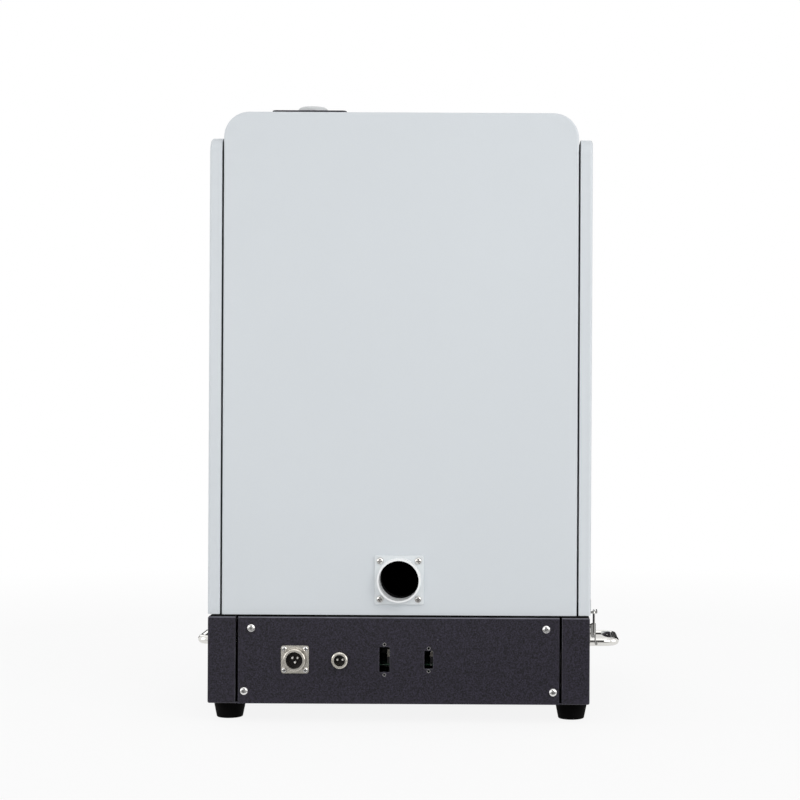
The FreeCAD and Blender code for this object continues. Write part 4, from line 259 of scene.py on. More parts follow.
def moulded_skin():
    """Moulded plastic or rubber: a spark-eroded grain, with dull and shiny patches."""
    asked = [("Colour", COLOUR), ("Worn Colour", COLOUR), ("Grain", NUMBER), ("Rough", NUMBER)]
    group, given, result = new_group("moulded_skin", asked, SURFACE)
    place = own_place(group)
    cell = put(group, "ShaderNodeTexVoronoi", Vector=place, Scale=given["Grain"]).outputs["Distance"]
    shiny = spread(group, noise(group, place, scale=38.0, detail=3.0), 0.4, 0.75)
    pale = sums(group, "MULTIPLY", shiny, spread(group, cell, 0.1, 0.7, to_low=0.3, to_high=1.0))
    pale = sums(group, "MULTIPLY", pale, WORN_SHARE)
    group.links.new(tint(group, pale, given["Colour"], given["Worn Colour"]), result["Colour"])
    rough = sums(group, "ADD", given["Rough"], sums(group, "MULTIPLY", shiny, SHINE_ROUGH))
    group.links.new(rough, result["Roughness"])
    group.links.new(cell, result["Height"])
    return group


COAT = powder_coat()
DRAWN = drawn_metal()
GLOSS = handled_gloss()
MOULDED = moulded_skin()


def surface(name, group, values, bump=0.0, bump_depth=0.0001, **fixed):
    """A material with one shared finish, its own values, and fixed numbers set on the shader itself."""
    material = bpy.data.materials.new(name)
    material.use_nodes = True
    tree = material.node_tree
    shader = tree.nodes["Principled BSDF"]
    finish = tree.nodes.new("ShaderNodeGroup")
    finish.node_tree = group
    for label, value in values.items():
        finish.inputs[label].default_value = value
    tree.links.new(finish.outputs["Colour"], shader.inputs["Base Color"])
    tree.links.new(finish.outputs["Roughness"], shader.inputs["Roughness"])
    if bump:
        height = finish.outputs["Height"]
        raised = put(tree, "ShaderNodeBump", Strength=bump, Distance=bump_depth, Height=height)
        tree.links.new(raised.outputs[0], shader.inputs["Normal"])
    for label, value in fixed.items():
        shader.inputs[label.replace("_", " ")].default_value = value
    return material


def recolour(material, mask, colour):
    """Lays another colour over a material where the mask is 1."""
    tree = material.node_tree
    base = tree.nodes["Principled BSDF"].inputs["Base Color"]
    below = base.links[0].from_socket
    tree.links.new(tint(tree, mask, below, colour), base)


# Each Edge Colour is lighter than its paint: worn edges, and a painted highlight along them.
WHITE_PAINT = {
    "Colour": (0.685, 0.722, 0.752, 1),
    "Dust Colour": (0.5, 0.51, 0.52, 1),
    "Edge Colour": (0.8, 0.82, 0.84, 1),
    "Grain": 900.0, "Mottle": 0.05, "Drift": 0.05, "Dust": 0.1, "Edge": 0.6, "Seam": 0.9, "Rough": 0.42,
}
BLACK_PAINT = {
    "Colour": (0.0157, 0.0131, 0.0233, 1),
    "Dust Colour": (0.25, 0.25, 0.26, 1),
    "Edge Colour": (0.22, 0.22, 0.25, 1),
    "Grain": 720.0, "Mottle": 5.5, "Drift": 0.3, "Dust": 0.6, "Edge": 0.7, "Seam": 0.95, "Rough": 0.46,
}
SPIGOT_PAINT = {
    **WHITE_PAINT,
    "Colour": (0.75, 0.785, 0.805, 1),
    "Edge Colour": (0.95, 0.96, 0.97, 1),
    "Edge": 1.0, "Seam": 0.3, "Rough": 0.36,
}
BLACK_COAT = {"bump": 0.3, "bump_depth": 0.00015, "Specular_IOR_Level": 0.33}
hood_white = surface(
    "hood_white", COAT, WHITE_PAINT,
    bump=0.12, bump_depth=0.0001, Specular_IOR_Level=0.2, Coat_Weight=0.1, Coat_Roughness=0.16,
)
spigot_white = surface(
    "spigot_white", COAT, SPIGOT_PAINT,
    bump=0.12, bump_depth=0.0001, Specular_IOR_Level=0.45,
)
plinth_black = surface("plinth_black", COAT, BLACK_PAINT, **BLACK_COAT)
plate_black = surface("plate_black", COAT, BLACK_PAINT, **BLACK_COAT)
brushed_steel = surface(
    "brushed_steel", DRAWN,
    {"Colour": (0.58, 0.575, 0.57, 1), "Lines": (14.0, 900.0, 900.0), "Rough": 0.32, "Contrast": 0.35},
    bump=0.08, bump_depth=0.00005, Metallic=1.0,
)
zinc_plate = surface(
    "zinc_plate", DRAWN,
    {"Colour": (0.6, 0.62, 0.64, 1), "Lines": (320.0, 60.0, 320.0), "Rough": 0.36, "Contrast": 0.4},
    bump=0.05, bump_depth=0.00005, Metallic=1.0,
)
bright_screw = surface(
    "bright_screw", GLOSS,
    {
        "Colour": (0.86, 0.85, 0.84, 1), "Smear Colour": (0.55, 0.54, 0.53, 1),
        "Smear": 0.4, "Dirt": 0.95, "Rough": 0.18,
    },
    bump=0.05, bump_depth=0.00005, Metallic=1.0,
)
head_chrome = surface(
    "head_chrome", GLOSS,
    {
        "Colour": (0.82, 0.8, 0.77, 1), "Smear Colour": (0.5, 0.47, 0.43, 1),
        "Smear": 0.35, "Dirt": 1.0, "Rough": 0.07,
    },
    bump=0.04, bump_depth=0.00005, Metallic=1.0,
)
handle_chrome = surface(
    "handle_chrome", GLOSS,
    {
        "Colour": (0.74, 0.73, 0.7, 1), "Smear Colour": (0.5, 0.49, 0.46, 1),
        "Smear": 0.3, "Dirt": 0.8, "Rough": 0.06,
    },
    bump=0.03, bump_depth=0.00005, Metallic=1.0,
)
socket_nickel = surface(
    "socket_nickel", GLOSS,
    {
        "Colour": (0.7, 0.665, 0.6, 1), "Smear Colour": (0.46, 0.43, 0.38, 1),
        "Smear": 0.35, "Dirt": 0.8, "Rough": 0.2,
    },
    bump=0.02, bump_depth=0.00005, Metallic=1.0,
)
pin_gold = surface(
    "pin_gold", GLOSS,
    {"Colour": (0.97, 0.96, 0.93, 1), "Smear Colour": (0.85, 0.82, 0.76, 1), "Smear": 0.3, "Rough": 0.3},
)
insert_brown = surface(
    "insert_brown", MOULDED,
    {
        "Colour": (0.006, 0.0035, 0.003, 1), "Worn Colour": (0.014, 0.008, 0.007, 1),
        "Grain": 1400.0, "Rough": 0.4,
    },
    bump=0.15, bump_depth=0.00008, Specular_IOR_Level=0.2,
)
foot_rubber = surface(
    "foot_rubber", MOULDED,
    {
        "Colour": (0.0016, 0.0014, 0.0014, 1), "Worn Colour": (0.005, 0.0045, 0.0045, 1),
        "Grain": 900.0, "Rough": 0.8,
    },
    bump=0.3, bump_depth=0.0001, Specular_IOR_Level=0.05,
)
gasket_silicone = surface(
    "gasket_silicone", MOULDED,
    {"Colour": (0.3, 0.045, 0.03, 1), "Worn Colour": (0.38, 0.08, 0.05, 1), "Grain": 700.0, "Rough": 0.6},
    bump=0.2, bump_depth=0.0001,
)
fan_plastic = surface(
    "fan_plastic", MOULDED,
    {
        "Colour": (0.016, 0.0155, 0.0155, 1), "Worn Colour": (0.045, 0.044, 0.043, 1),
        "Grain": 1400.0, "Rough": 0.5,
    },
    bump=0.2, bump_depth=0.0001,
)
# Near-black without sheen: soot, and painted shade for the dark inside the fume path.
soot_black = surface(
    "soot_black", MOULDED,
    {
        "Colour": (0.0003, 0.0003, 0.0003, 1), "Worn Colour": (0.0008, 0.0008, 0.0008, 1),
        "Grain": 500.0, "Rough": 1.0,
    },
    bump=0.3, bump_depth=0.0001, Specular_IOR_Level=0.0,
)
dial_white = surface(
    "dial_white", MOULDED,
    {"Colour": (0.68, 0.7, 0.71, 1), "Worn Colour": (0.6, 0.61, 0.61, 1), "Grain": 1500.0, "Rough": 0.42},
    bump=0.12, bump_depth=0.00008,
)
key_grey = surface(
    "key_grey", MOULDED,
    {
        "Colour": (0.2, 0.205, 0.21, 1), "Worn Colour": (0.27, 0.275, 0.28, 1),
        "Grain": 1500.0, "Rough": 0.45,
    },
    bump=0.12, bump_depth=0.00008,
)
key_green = surface(
    "key_green", MOULDED,
    {"Colour": (0.03, 0.3, 0.08, 1), "Worn Colour": (0.06, 0.38, 0.13, 1), "Grain": 1500.0, "Rough": 0.4},
    bump=0.12, bump_depth=0.00008,
)
stop_red = surface(
    "stop_red", MOULDED,
    {
        "Colour": (0.52, 0.018, 0.016, 1), "Worn Colour": (0.6, 0.05, 0.04, 1),
        "Grain": 1300.0, "Rough": 0.34,
    },
    bump=0.1, bump_depth=0.00008, Coat_Weight=0.3,
)
screen_black = surface(
    "screen_black", GLOSS,
    {
        "Colour": (0.006, 0.008, 0.011, 1), "Smear Colour": (0.03, 0.032, 0.034, 1),
        "Smear": 0.5, "Rough": 0.06,
    },
)
window_glass = surface(
    "window_glass", GLOSS,
    {"Colour": (0.92, 0.96, 0.95, 1), "Smear Colour": (0.8, 0.83, 0.82, 1), "Smear": 0.3, "Rough": 0.0},
    Transmission_Weight=1.0, IOR=1.5,
)
quartz_tube = surface(
    "quartz_tube", GLOSS,
    {"Colour": (0.97, 0.95, 0.92, 1), "Smear Colour": (0.8, 0.76, 0.7, 1), "Smear": 0.5, "Rough": 0.02},
    Transmission_Weight=0.9, IOR=1.46,
)
cap_ceramic = surface(
    "cap_ceramic", MOULDED,
    {"Colour": (0.76, 0.73, 0.66, 1), "Worn Colour": (0.62, 0.58, 0.5, 1), "Grain": 800.0, "Rough": 0.6},
    bump=0.15, bump_depth=0.0001,
)
wool_board = surface(
    "wool_board", MOULDED,
    {"Colour": (0.8, 0.78, 0.72, 1), "Worn Colour": (0.66, 0.62, 0.55, 1), "Grain": 260.0, "Rough": 0.95},
    bump=0.8, bump_depth=0.0008,
)
cast_aluminium = surface(
    "cast_aluminium", DRAWN,
    {"Colour": (0.66, 0.67, 0.68, 1), "Lines": (500.0, 500.0, 500.0), "Rough": 0.42, "Contrast": 0.3},
    bump=0.1, bump_depth=0.0001, Metallic=1.0,
)
board_green = surface(
    "board_green", GLOSS,
    {"Colour": (0.015, 0.13, 0.055, 1), "Smear Colour": (0.05, 0.2, 0.09, 1), "Smear": 0.4, "Rough": 0.3},
)
mark_ink = surface(
    "mark_ink", GLOSS,
    {"Colour": (0.78, 0.79, 0.8, 1), "Smear Colour": (0.6, 0.6, 0.6, 1), "Smear": 0.35, "Rough": 0.4},
)
yellow_ring = surface(
    "yellow_ring", MOULDED,
    {"Colour": (0.72, 0.46, 0.02, 1), "Worn Colour": (0.62, 0.4, 0.04, 1), "Grain": 1400.0, "Rough": 0.45},
    bump=0.1, bump_depth=0.00008,
)
heater_wire = surface(
    "heater_wire", DRAWN,
    {"Colour": (0.2, 0.18, 0.16, 1), "Lines": (900.0, 200.0, 200.0), "Rough": 0.5, "Contrast": 0.5},
    Metallic=1.0,
)


def glowing(name, colour, dim_colour, strength):
    """A lit sign: a little uneven, as a display or lamp behind plastic is."""
    values = {"Colour": colour, "Smear Colour": dim_colour, "Smear": 0.4, "Rough": 0.3}
    material = surface(name, GLOSS, values)
    shader = material.node_tree.nodes["Principled BSDF"]
    base = shader.inputs["Base Color"].links[0].from_socket
    material.node_tree.links.new(base, shader.inputs["Emission Color"])
    shader.inputs["Emission Strength"].default_value = strength
    return material


ink_black = surface(
    "ink_black", GLOSS,
    {"Colour": (0.02, 0.02, 0.021, 1), "Smear Colour": (0.05, 0.05, 0.05, 1), "Smear": 0.35, "Rough": 0.45},
)
trace_amber = glowing("trace_amber", (0.85, 0.42, 0.04, 1), (0.6, 0.28, 0.03, 1), 0.9)
axis_teal = glowing("axis_teal", (0.12, 0.34, 0.4, 1), (0.08, 0.22, 0.27, 1), 0.7)
lamp_green = glowing("lamp_green", (0.08, 0.75, 0.2, 1), (0.05, 0.5, 0.14, 1), 0.8)

FINISH = {
    "white_coat": hood_white, "black_coat": plinth_black,
    "brushed_steel": brushed_steel, "zinc_steel": zinc_plate, "screw_steel": bright_screw,
    "chrome": handle_chrome, "nickel": socket_nickel, "pin_metal": pin_gold, "aluminium": cast_aluminium,
    "rubber": foot_rubber, "silicone": gasket_silicone, "black_plastic": fan_plastic,
    "pale_plastic": dial_white, "grey_plastic": key_grey,
    "green_plastic": key_green, "red_plastic": stop_red,
    "screen_glass": screen_black, "window_glass": window_glass, "quartz": quartz_tube,
    "ceramic": cap_ceramic, "mineral_wool": wool_board, "board_green": board_green,
}
OWN_FINISH = {
    "exhaust_spigot": spigot_white, "rear_plate": plate_black, "socket_inserts": insert_brown,
    "exhaust_fan_frame": soot_black, "exhaust_fan_rotor": soot_black, "fume_duct": soot_black,
    "socket_screws": bright_screw, "spigot_screws": head_chrome,
}
for entry in frame["record"]["subparts"]:
    finish = OWN_FINISH.get(entry["node"], FINISH[entry["material_slot"]])
    for slot in nodes[entry["node"]].material_slots:
        slot.material = finish


# Places where a finish changes over one piece
def middle(node):
    low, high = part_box(node)
    return (low + high) / 2


def place_of(tree):
    """The three outputs of a point's own place."""
    return put(tree, "ShaderNodeSeparateXYZ", Vector=own_place(tree)).outputs


def rougher(material, mask):
    """Makes a material dull where the mask is 1."""
    tree = material.node_tree
    rough = tree.nodes["Principled BSDF"].inputs["Roughness"]
    below = rough.links[0].from_socket
    tree.links.new(sums(tree, "MAXIMUM", below, mask), rough)


def square_away(tree, across, up):
    """The square of the distance from an axis, from the two distances that make it up."""
    return sums(tree, "ADD", sums(tree, "MULTIPLY", across, across), sums(tree, "MULTIPLY", up, up))


SPIGOT_TUBE_R = 0.0243
SPIGOT_BORE_R = 0.0229
DARK_FROM_RIM = 0.0275
DARK_RAGGED = 0.0012
TUBE_WHITE = (0.93, 0.945, 0.95, 1)
# Painted shade with soot: the near-black of the bore beyond the rim.
SOOT_AND_SHADE = (0.0012, 0.0012, 0.0013, 1)


def soot_and_shade_in_spigot():
    """The tube is whiter than its flange, and its bore is near-black up to the last part: fume soot, and
    painted shade for the dark deep in the outlet.
    """
    tree = spigot_white.node_tree
    place = place_of(tree)
    up = sums(tree, "SUBTRACT", place["Z"], middle("exhaust_spigot").z)
    away = square_away(tree, place["X"], up)
    recolour(spigot_white, sums(tree, "LESS_THAN", away, SPIGOT_TUBE_R ** 2), TUBE_WHITE)
    in_bore = sums(tree, "LESS_THAN", away, SPIGOT_BORE_R ** 2)
    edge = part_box("exhaust_spigot")[1].y - DARK_FROM_RIM
    ragged = sums(tree, "MULTIPLY", noise(tree, own_place(tree), scale=130.0, detail=3.0), DARK_RAGGED)
    deep = spread(tree, sums(tree, "ADD", place["Y"], ragged), edge, edge - DARK_RAGGED)
    soot_and_shade = sums(tree, "MULTIPLY", deep, in_bore)
    # Painted shade with soot: the deep bore goes near-black and dull.
    recolour(spigot_white, soot_and_shade, SOOT_AND_SHADE)
    rougher(spigot_white, soot_and_shade)


MM = 0.001
BARE_GLINT_RING = 0.00025
BARE_STEEL_AND_GLINT = (0.5, 0.49, 0.48, 1)


def bare_and_glinting_hole_edges():
    """Plug screws have rubbed the paint off round the data ports' holes, and the pale ring there is also a
    painted glint on the holes' edges.
    """
    tree = plate_black.node_tree
    place = place_of(tree)
    bare_and_glint = 0.0
    for mount in frame["record"]["mounts"]:
        if mount["kind"] != "bolt_pattern":
            continue
        x, _, z = mount["pos_m"]
        reach = mount["dims"]["hole_r_mm"] * MM + BARE_GLINT_RING
        half = mount["dims"]["spacing_y_mm"] * MM / 2
        across = sums(tree, "SUBTRACT", place["X"], x)
        for hole_z in (z - half, z + half):
            away = square_away(tree, across, sums(tree, "SUBTRACT", place["Z"], hole_z))
            bare_and_glint = sums(tree, "MAXIMUM", bare_and_glint, sums(tree, "LESS_THAN", away, reach ** 2))
    # Painted glint with bare steel: a pale ring round each screw hole.
    recolour(plate_black, bare_and_glint, BARE_STEEL_AND_GLINT)


GAP_EDGE = 0.0003
GAP_FADE_FROM = 0.06
GAP_FADE_TO = 0.03
# Painted shade in the gap under the foot of the hood's back.
GAP_SHADE = (0.0004, 0.0004, 0.0005, 1)
# Painted highlight along the plinth's top bend.
BEND_HIGHLIGHT_BAND = 0.0015
BEND_HIGHLIGHT = (0.2, 0.2, 0.24, 1)


def plinth_top(material):
    """A painted highlight along the top bend, and painted shade in the gap between it and the foot of the
    hood's back.
    """
    tree = material.node_tree
    place = place_of(tree)
    height = place["Z"]
    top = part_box("plinth_pan")[1].z
    above = sums(tree, "GREATER_THAN", height, top - GAP_EDGE)
    below = sums(tree, "LESS_THAN", height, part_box("deck_plate")[1].z + GAP_EDGE)
    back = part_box("rear_panel")[1].y
    at_back = spread(tree, place["Y"], back - GAP_FADE_FROM, back - GAP_FADE_TO)
    in_gap = sums(tree, "MULTIPLY", sums(tree, "MULTIPLY", above, below), at_back)
    on_bend = spread(tree, height, top - BEND_HIGHLIGHT_BAND, top - BEND_HIGHLIGHT_BAND / 2)
    on_bend = sums(tree, "MULTIPLY", on_bend, below)
    patchy = noise(tree, own_place(tree), scale=45.0, detail=4.0, roughness=0.6)
    broken = spread(tree, patchy, 0.3, 0.6, to_low=0.55, to_high=1.0)
    # Painted highlight: a pale band along the top bend.
    recolour(material, sums(tree, "MULTIPLY", on_bend, broken), BEND_HIGHLIGHT)
    # Painted shade: the gap under the foot of the hood's back goes near-black and dull.
    recolour(material, in_gap, GAP_SHADE)
    rougher(material, in_gap)


BOARD_THICK = 0.0016
BOARD_SKIN = 0.0002
CONNECTOR_ZONE = 0.018
CREAM_FROM = 0.0075
PAD_SIZE = 0.24
CHIP_BLACK = (0.008, 0.008, 0.009, 1)
CONNECTOR_CREAM = (0.86, 0.79, 0.66, 1)
TINNED = (0.6, 0.6, 0.58, 1)


def parts_on_board():
    """Cream connector tops, dark parts and tinned pads on the control board."""
    tree = board_green.node_tree
    place = place_of(tree)
    low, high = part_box("control_board")
    top = low.z + BOARD_THICK
    recolour(board_green, sums(tree, "GREATER_THAN", place["Z"], top + BOARD_SKIN), CHIP_BLACK)
    at_rear = sums(tree, "GREATER_THAN", place["Y"], high.y - CONNECTOR_ZONE)
    cream = sums(tree, "MULTIPLY", at_rear, sums(tree, "GREATER_THAN", place["Z"], top + CREAM_FROM))
    recolour(board_green, cream, CONNECTOR_CREAM)
    pads = put(tree, "ShaderNodeTexVoronoi", Vector=own_place(tree), Scale=230.0).outputs["Distance"]
    on_board = sums(tree, "LESS_THAN", place["Z"], top + BOARD_SKIN)
    recolour(board_green, sums(tree, "MULTIPLY", sums(tree, "LESS_THAN", pads, PAD_SIZE), on_board), TINNED)


HEAT_STRAW = (0.5, 0.38, 0.2, 1)


def heat_tint():
    """Straw heat colour in clouds over the steel."""
    tree = brushed_steel.node_tree
    cloud = noise(tree, own_place(tree), scale=9.0, detail=3.0, roughness=0.6)
    recolour(brushed_steel, spread(tree, cloud, 0.52, 0.75, to_low=0.0, to_high=0.35), HEAT_STRAW)


soot_and_shade_in_spigot()
bare_and_glinting_hole_edges()
plinth_top(plinth_black)
plinth_top(plate_black)
parts_on_board()
heat_tint()


# Modelling helpers
QUARTER = math.radians(90)
FACING_FRONT = (QUARTER, 0, 0)
FACING_UP = (0, 0, 0)
INK = 0.00022
FRONTWARD = (0, -INK, 0)
UPWARD = (0, 0, INK)
NEAR_MIDDLE = 0.0001


def turned_front(angle):
    """The turn of a sheet that faces the front, by an angle clockwise as seen from there."""
    return (QUARTER, angle, 0)


def settle():
    """Puts the new piece's place, turn and size into its mesh."""
    bpy.ops.object.transform_apply(location=True, rotation=True, scale=True)
    return bpy.context.object


def patch(place, width, height, turn=FACING_FRONT):
    bpy.ops.object.select_all(action="DESELECT")
    bpy.ops.mesh.primitive_plane_add(size=1, location=place, rotation=turn)
    bpy.context.object.scale = (width, height, 1)
    return settle()


def disc(place, radius, corners, turn=FACING_FRONT):
    bpy.ops.object.select_all(action="DESELECT")
    bpy.ops.mesh.primitive_circle_add(
        vertices=corners, radius=radius, fill_type="NGON", location=place, rotation=turn
    )
    return settle()


def choose_edges(piece, test):
    """Selects a piece's edges by a test on their middle, and stays in edit mode."""
    bpy.ops.object.mode_set(mode="EDIT")
    bpy.ops.mesh.select_mode(type="EDGE")
    bpy.ops.mesh.select_all(action="DESELECT")
    bpy.ops.object.mode_set(mode="OBJECT")
    points = piece.data.vertices
    for edge in piece.data.edges:
        first, second = edge.vertices
        edge.select = test((points[first].co + points[second].co) / 2)
    bpy.ops.object.mode_set(mode="EDIT")


def whole(piece):
    """Selects all faces of a piece, and stays in edit mode."""
    bpy.context.view_layer.objects.active = piece
    bpy.ops.object.mode_set(mode="EDIT")
    bpy.ops.mesh.select_mode(type="FACE")
    bpy.ops.mesh.select_all(action="SELECT")


def round_corners(piece, radius, segments=3):
    """Rounds every corner of a flat sheet."""
    whole(piece)
    bpy.ops.mesh.bevel(offset=radius, segments=segments, affect="VERTICES")


def open_inside(piece, rim):
    """Leaves only a rim of a flat sheet."""
    whole(piece)
    bpy.ops.mesh.inset(thickness=rim)
    bpy.ops.mesh.delete(type="FACE")
    bpy.ops.object.mode_set(mode="OBJECT")


def thicken(piece, way):
    """Gives a flat sheet its thickness."""
    whole(piece)
    bpy.ops.mesh.extrude_region_move(TRANSFORM_OT_translate={"value": way})
    bpy.ops.mesh.select_all(action="SELECT")
    bpy.ops.mesh.normals_make_consistent(inside=False)
    bpy.ops.object.mode_set(mode="OBJECT")
    return piece


def ring_of(piece, centre, axis, steps, angle):
    """Repeats a shape round an axis."""
    whole(piece)
    bpy.ops.mesh.spin(steps=steps, dupli=True, angle=angle, center=centre, axis=axis)
    bpy.ops.object.mode_set(mode="OBJECT")


def join(pieces):
    bpy.ops.object.select_all(action="DESELECT")
    for piece in pieces:
        piece.select_set(True)
    bpy.context.view_layer.objects.active = pieces[0]
    bpy.ops.object.join()
    return bpy.context.object


def fit(piece, name, material, body):
    """Names a finished piece, gives it its finish, and lets it move with its body."""
    piece.name = name
    piece.data.name = name
    piece.data.materials.clear()
    piece.data.materials.append(material)
    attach(piece, body)


def clock_way(angle):
    """A way in the front's plane, by an angle from straight up."""
    return Vector((math.sin(angle), 0, math.cos(angle)))


def fascia_face():
    """The fascia's front plane, level with the display. The stop button's collar stands out of it."""
    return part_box("display_screen")[0].y


# Display
TRACE_START = (-0.046, -0.013)
TRACE_STEPS = (
    (0.016, 0.015), (0.026, 0.005), (0.015, 0.017), (0.005, 0.0035), (0.006, -0.0025), (0.022, -0.024),
)
TRACE_LINE = 0.0013
TRACE_END = 0.0004
AXIS_LEFT = 0.049
AXIS_DOWN = 0.016
AXIS_LINE = 0.0006
AXIS_W = 0.098
AXIS_H = 0.046
AXIS_H_UP = 0.007
LEVELS = 4
LEVEL_STEP = 0.0105
LEVEL_W = 0.096
LEVEL_LINE = 0.00025
TIMES = 7
TIME_STEP = 0.014
TIME_DOWN = 0.0145
TIME_W, TIME_H = 0.0004, 0.0024
SOFT_KEYS = 4
SOFT_KEY_LEFT = 0.0375
SOFT_KEY_STEP = 0.025
SOFT_KEY_DOWN = 0.0265
SOFT_KEY_W, SOFT_KEY_H = 0.021, 0.0085
SOFT_KEY_ROUND = 0.0016
SOFT_KEY_LINE = 0.0006


def display_marks():
    centre = middle("display_screen")
    face = fascia_face()

    def bar(across, up, width, height):
        return patch((centre.x + across, face, centre.z + up), width, height)

    trace = bar(*TRACE_START, TRACE_END, TRACE_LINE)
    choose_edges(trace, lambda at: at.x > centre.x + TRACE_START[0] + NEAR_MIDDLE)
    for across, up in TRACE_STEPS:
        bpy.ops.mesh.extrude_edges_move(TRANSFORM_OT_translate={"value": (across, 0, up)})
    fit(thicken(trace, FRONTWARD), "display_trace", trace_amber, "chassis")
    bars = [bar(-AXIS_LEFT, AXIS_H_UP, AXIS_LINE, AXIS_H), bar(0, -AXIS_DOWN, AXIS_W, AXIS_LINE)]
    for step in range(1, LEVELS + 1):
        bars.append(bar(0, LEVEL_STEP * step - AXIS_DOWN, LEVEL_W, LEVEL_LINE))
    for step in range(1, TIMES + 1):
        bars.append(bar(TIME_STEP * step - AXIS_LEFT, -TIME_DOWN, TIME_W, TIME_H))
    for step in range(SOFT_KEYS):
        key = bar(SOFT_KEY_STEP * step - SOFT_KEY_LEFT, -SOFT_KEY_DOWN, SOFT_KEY_W, SOFT_KEY_H)
        round_corners(key, SOFT_KEY_ROUND, segments=4)
        open_inside(key, SOFT_KEY_LINE)
        bars.append(key)
    fit(thicken(join(bars), FRONTWARD), "display_axes", axis_teal, "chassis")


# Keys and lamp
ARROW_R = 0.0048
ARROW_ASIDE = 0.0006
ARROW_ROUND = 0.0006
SQUARE_W = 0.0072
SQUARE_ROUND = 0.0008
LENS_R = 0.0034
LENS_SIDES = 32
LENS_STEPS = ((0.0, 0.0008), (0.0006, 0.0006), (0.0008, 0.0003), (0.0009, 0.00012))
LENS_SMOOTH = math.radians(40)


def key_marks():
    start = middle("key_start")
    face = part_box("key_start")[0].y
    arrow = disc((start.x - ARROW_ASIDE, face, start.z), ARROW_R, 3, turned_front(QUARTER))
    round_corners(arrow, ARROW_ROUND)
    fit(thicken(arrow, FRONTWARD), "start_key_mark", mark_ink, "start_key")
    stop = middle("key_stop")
    square = patch((stop.x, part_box("key_stop")[0].y, stop.z), SQUARE_W, SQUARE_W)
    round_corners(square, SQUARE_ROUND)
    fit(thicken(square, FRONTWARD), "stop_key_mark", mark_ink, "stop_key")


def status_lamp():
    x = middle("key_start").x
    z = (middle("key_start").z + middle("key_stop").z) / 2
    lens = disc((x, fascia_face(), z), LENS_R, LENS_SIDES)
    whole(lens)
    for inward, rise in LENS_STEPS:
        bpy.ops.mesh.extrude_region_move(TRANSFORM_OT_translate={"value": (0, -rise, 0)})
        if inward:
            bpy.ops.mesh.inset(thickness=inward)
    bpy.ops.object.mode_set(mode="OBJECT")
    bpy.ops.object.shade_smooth_by_angle(angle=LENS_SMOOTH)
    fit(lens, "status_lamp", lamp_green, "chassis")


# Setting knob and stop button
POINTER_OUT = 0.0095
POINTER_W, POINTER_L = 0.0017, 0.0105
POINTER_ROUND = 0.0006
KNOB_TICKS = 10
KNOB_SWEEP = math.radians(270)
KNOB_TICK_OUT = 0.0245
KNOB_TICK_W, KNOB_TICK_L = 0.0009, 0.0038
STOP_ARC_R = 0.0098
STOP_ARC_W = 0.0017
STOP_ARC_END = 0.0003
STOP_ARC_STEPS = 10
STOP_ARC_SWEEP = math.radians(66)
STOP_HEAD_AT = math.radians(74)
STOP_HEAD_R = 0.0027
STOP_MORE_ARROWS = 2
STOP_ARROWS_SWEEP = math.radians(240)
RING_R = 0.0305
RING_SIDES = 64
RING_W = 0.008
RING_T = 0.0008
RING_EDGE = 0.0007
RING_BEVEL = 0.0003


def knob_marks():
    centre = middle("setting_knob")
    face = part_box("setting_knob")[0].y
    line = patch((centre.x, face, centre.z + POINTER_OUT), POINTER_W, POINTER_L)
    round_corners(line, POINTER_ROUND)
    fit(thicken(line, FRONTWARD), "knob_pointer", mark_ink, "knob")
    first = -KNOB_SWEEP / 2
    base = Vector((centre.x, fascia_face(), centre.z))
    tick = patch(base + clock_way(first) * KNOB_TICK_OUT, KNOB_TICK_W, KNOB_TICK_L, turned_front(first))
    thicken(tick, FRONTWARD)
    ring_of(tick, base, (0, 1, 0), KNOB_TICKS, KNOB_SWEEP)
    fit(tick, "knob_scale", mark_ink, "chassis")


def stop_marks():
    centre = middle("stop_button")
    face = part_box("stop_button")[0].y
    hub = Vector((centre.x, face, centre.z))
    arc = patch((centre.x, face, centre.z + STOP_ARC_R), STOP_ARC_END, STOP_ARC_W)
    choose_edges(arc, lambda at: at.x > centre.x + NEAR_MIDDLE)
    bpy.ops.mesh.spin(steps=STOP_ARC_STEPS, angle=STOP_ARC_SWEEP, center=hub, axis=(0, 1, 0))
    bpy.ops.object.mode_set(mode="OBJECT")
    head_at = hub + clock_way(STOP_HEAD_AT) * STOP_ARC_R
    head = disc(head_at, STOP_HEAD_R, 3, turned_front(STOP_HEAD_AT + QUARTER))
    arrow = thicken(join([arc, head]), FRONTWARD)
    ring_of(arrow, hub, (0, 1, 0), STOP_MORE_ARROWS, STOP_ARROWS_SWEEP)
    fit(arrow, "stop_button_arrows", mark_ink, "stop_mushroom")
    ring = disc((centre.x, fascia_face(), centre.z), RING_R, RING_SIDES)
    open_inside(ring, RING_W)
    thicken(ring, (0, -RING_T, 0))
    choose_edges(ring, lambda at: at.y < fascia_face() - RING_EDGE)
    bpy.ops.mesh.bevel(offset=RING_BEVEL, segments=2)
    bpy.ops.object.mode_set(mode="OBJECT")
    fit(ring, "stop_button_ring", yellow_ring, "chassis")


# Mains switch
LIFT = 0.00004
ROCKER_CLEAR = 0.004
ROCKER_MARK_UP = 0.0062
ROCKER_BAR_W, ROCKER_BAR_H = 0.0014, 0.0066
ROCKER_BAR_CUTS = 4
ROCKER_RING_R = 0.0034
ROCKER_RING_SIDES = 40
ROCKER_RING_LINE = 0.0012


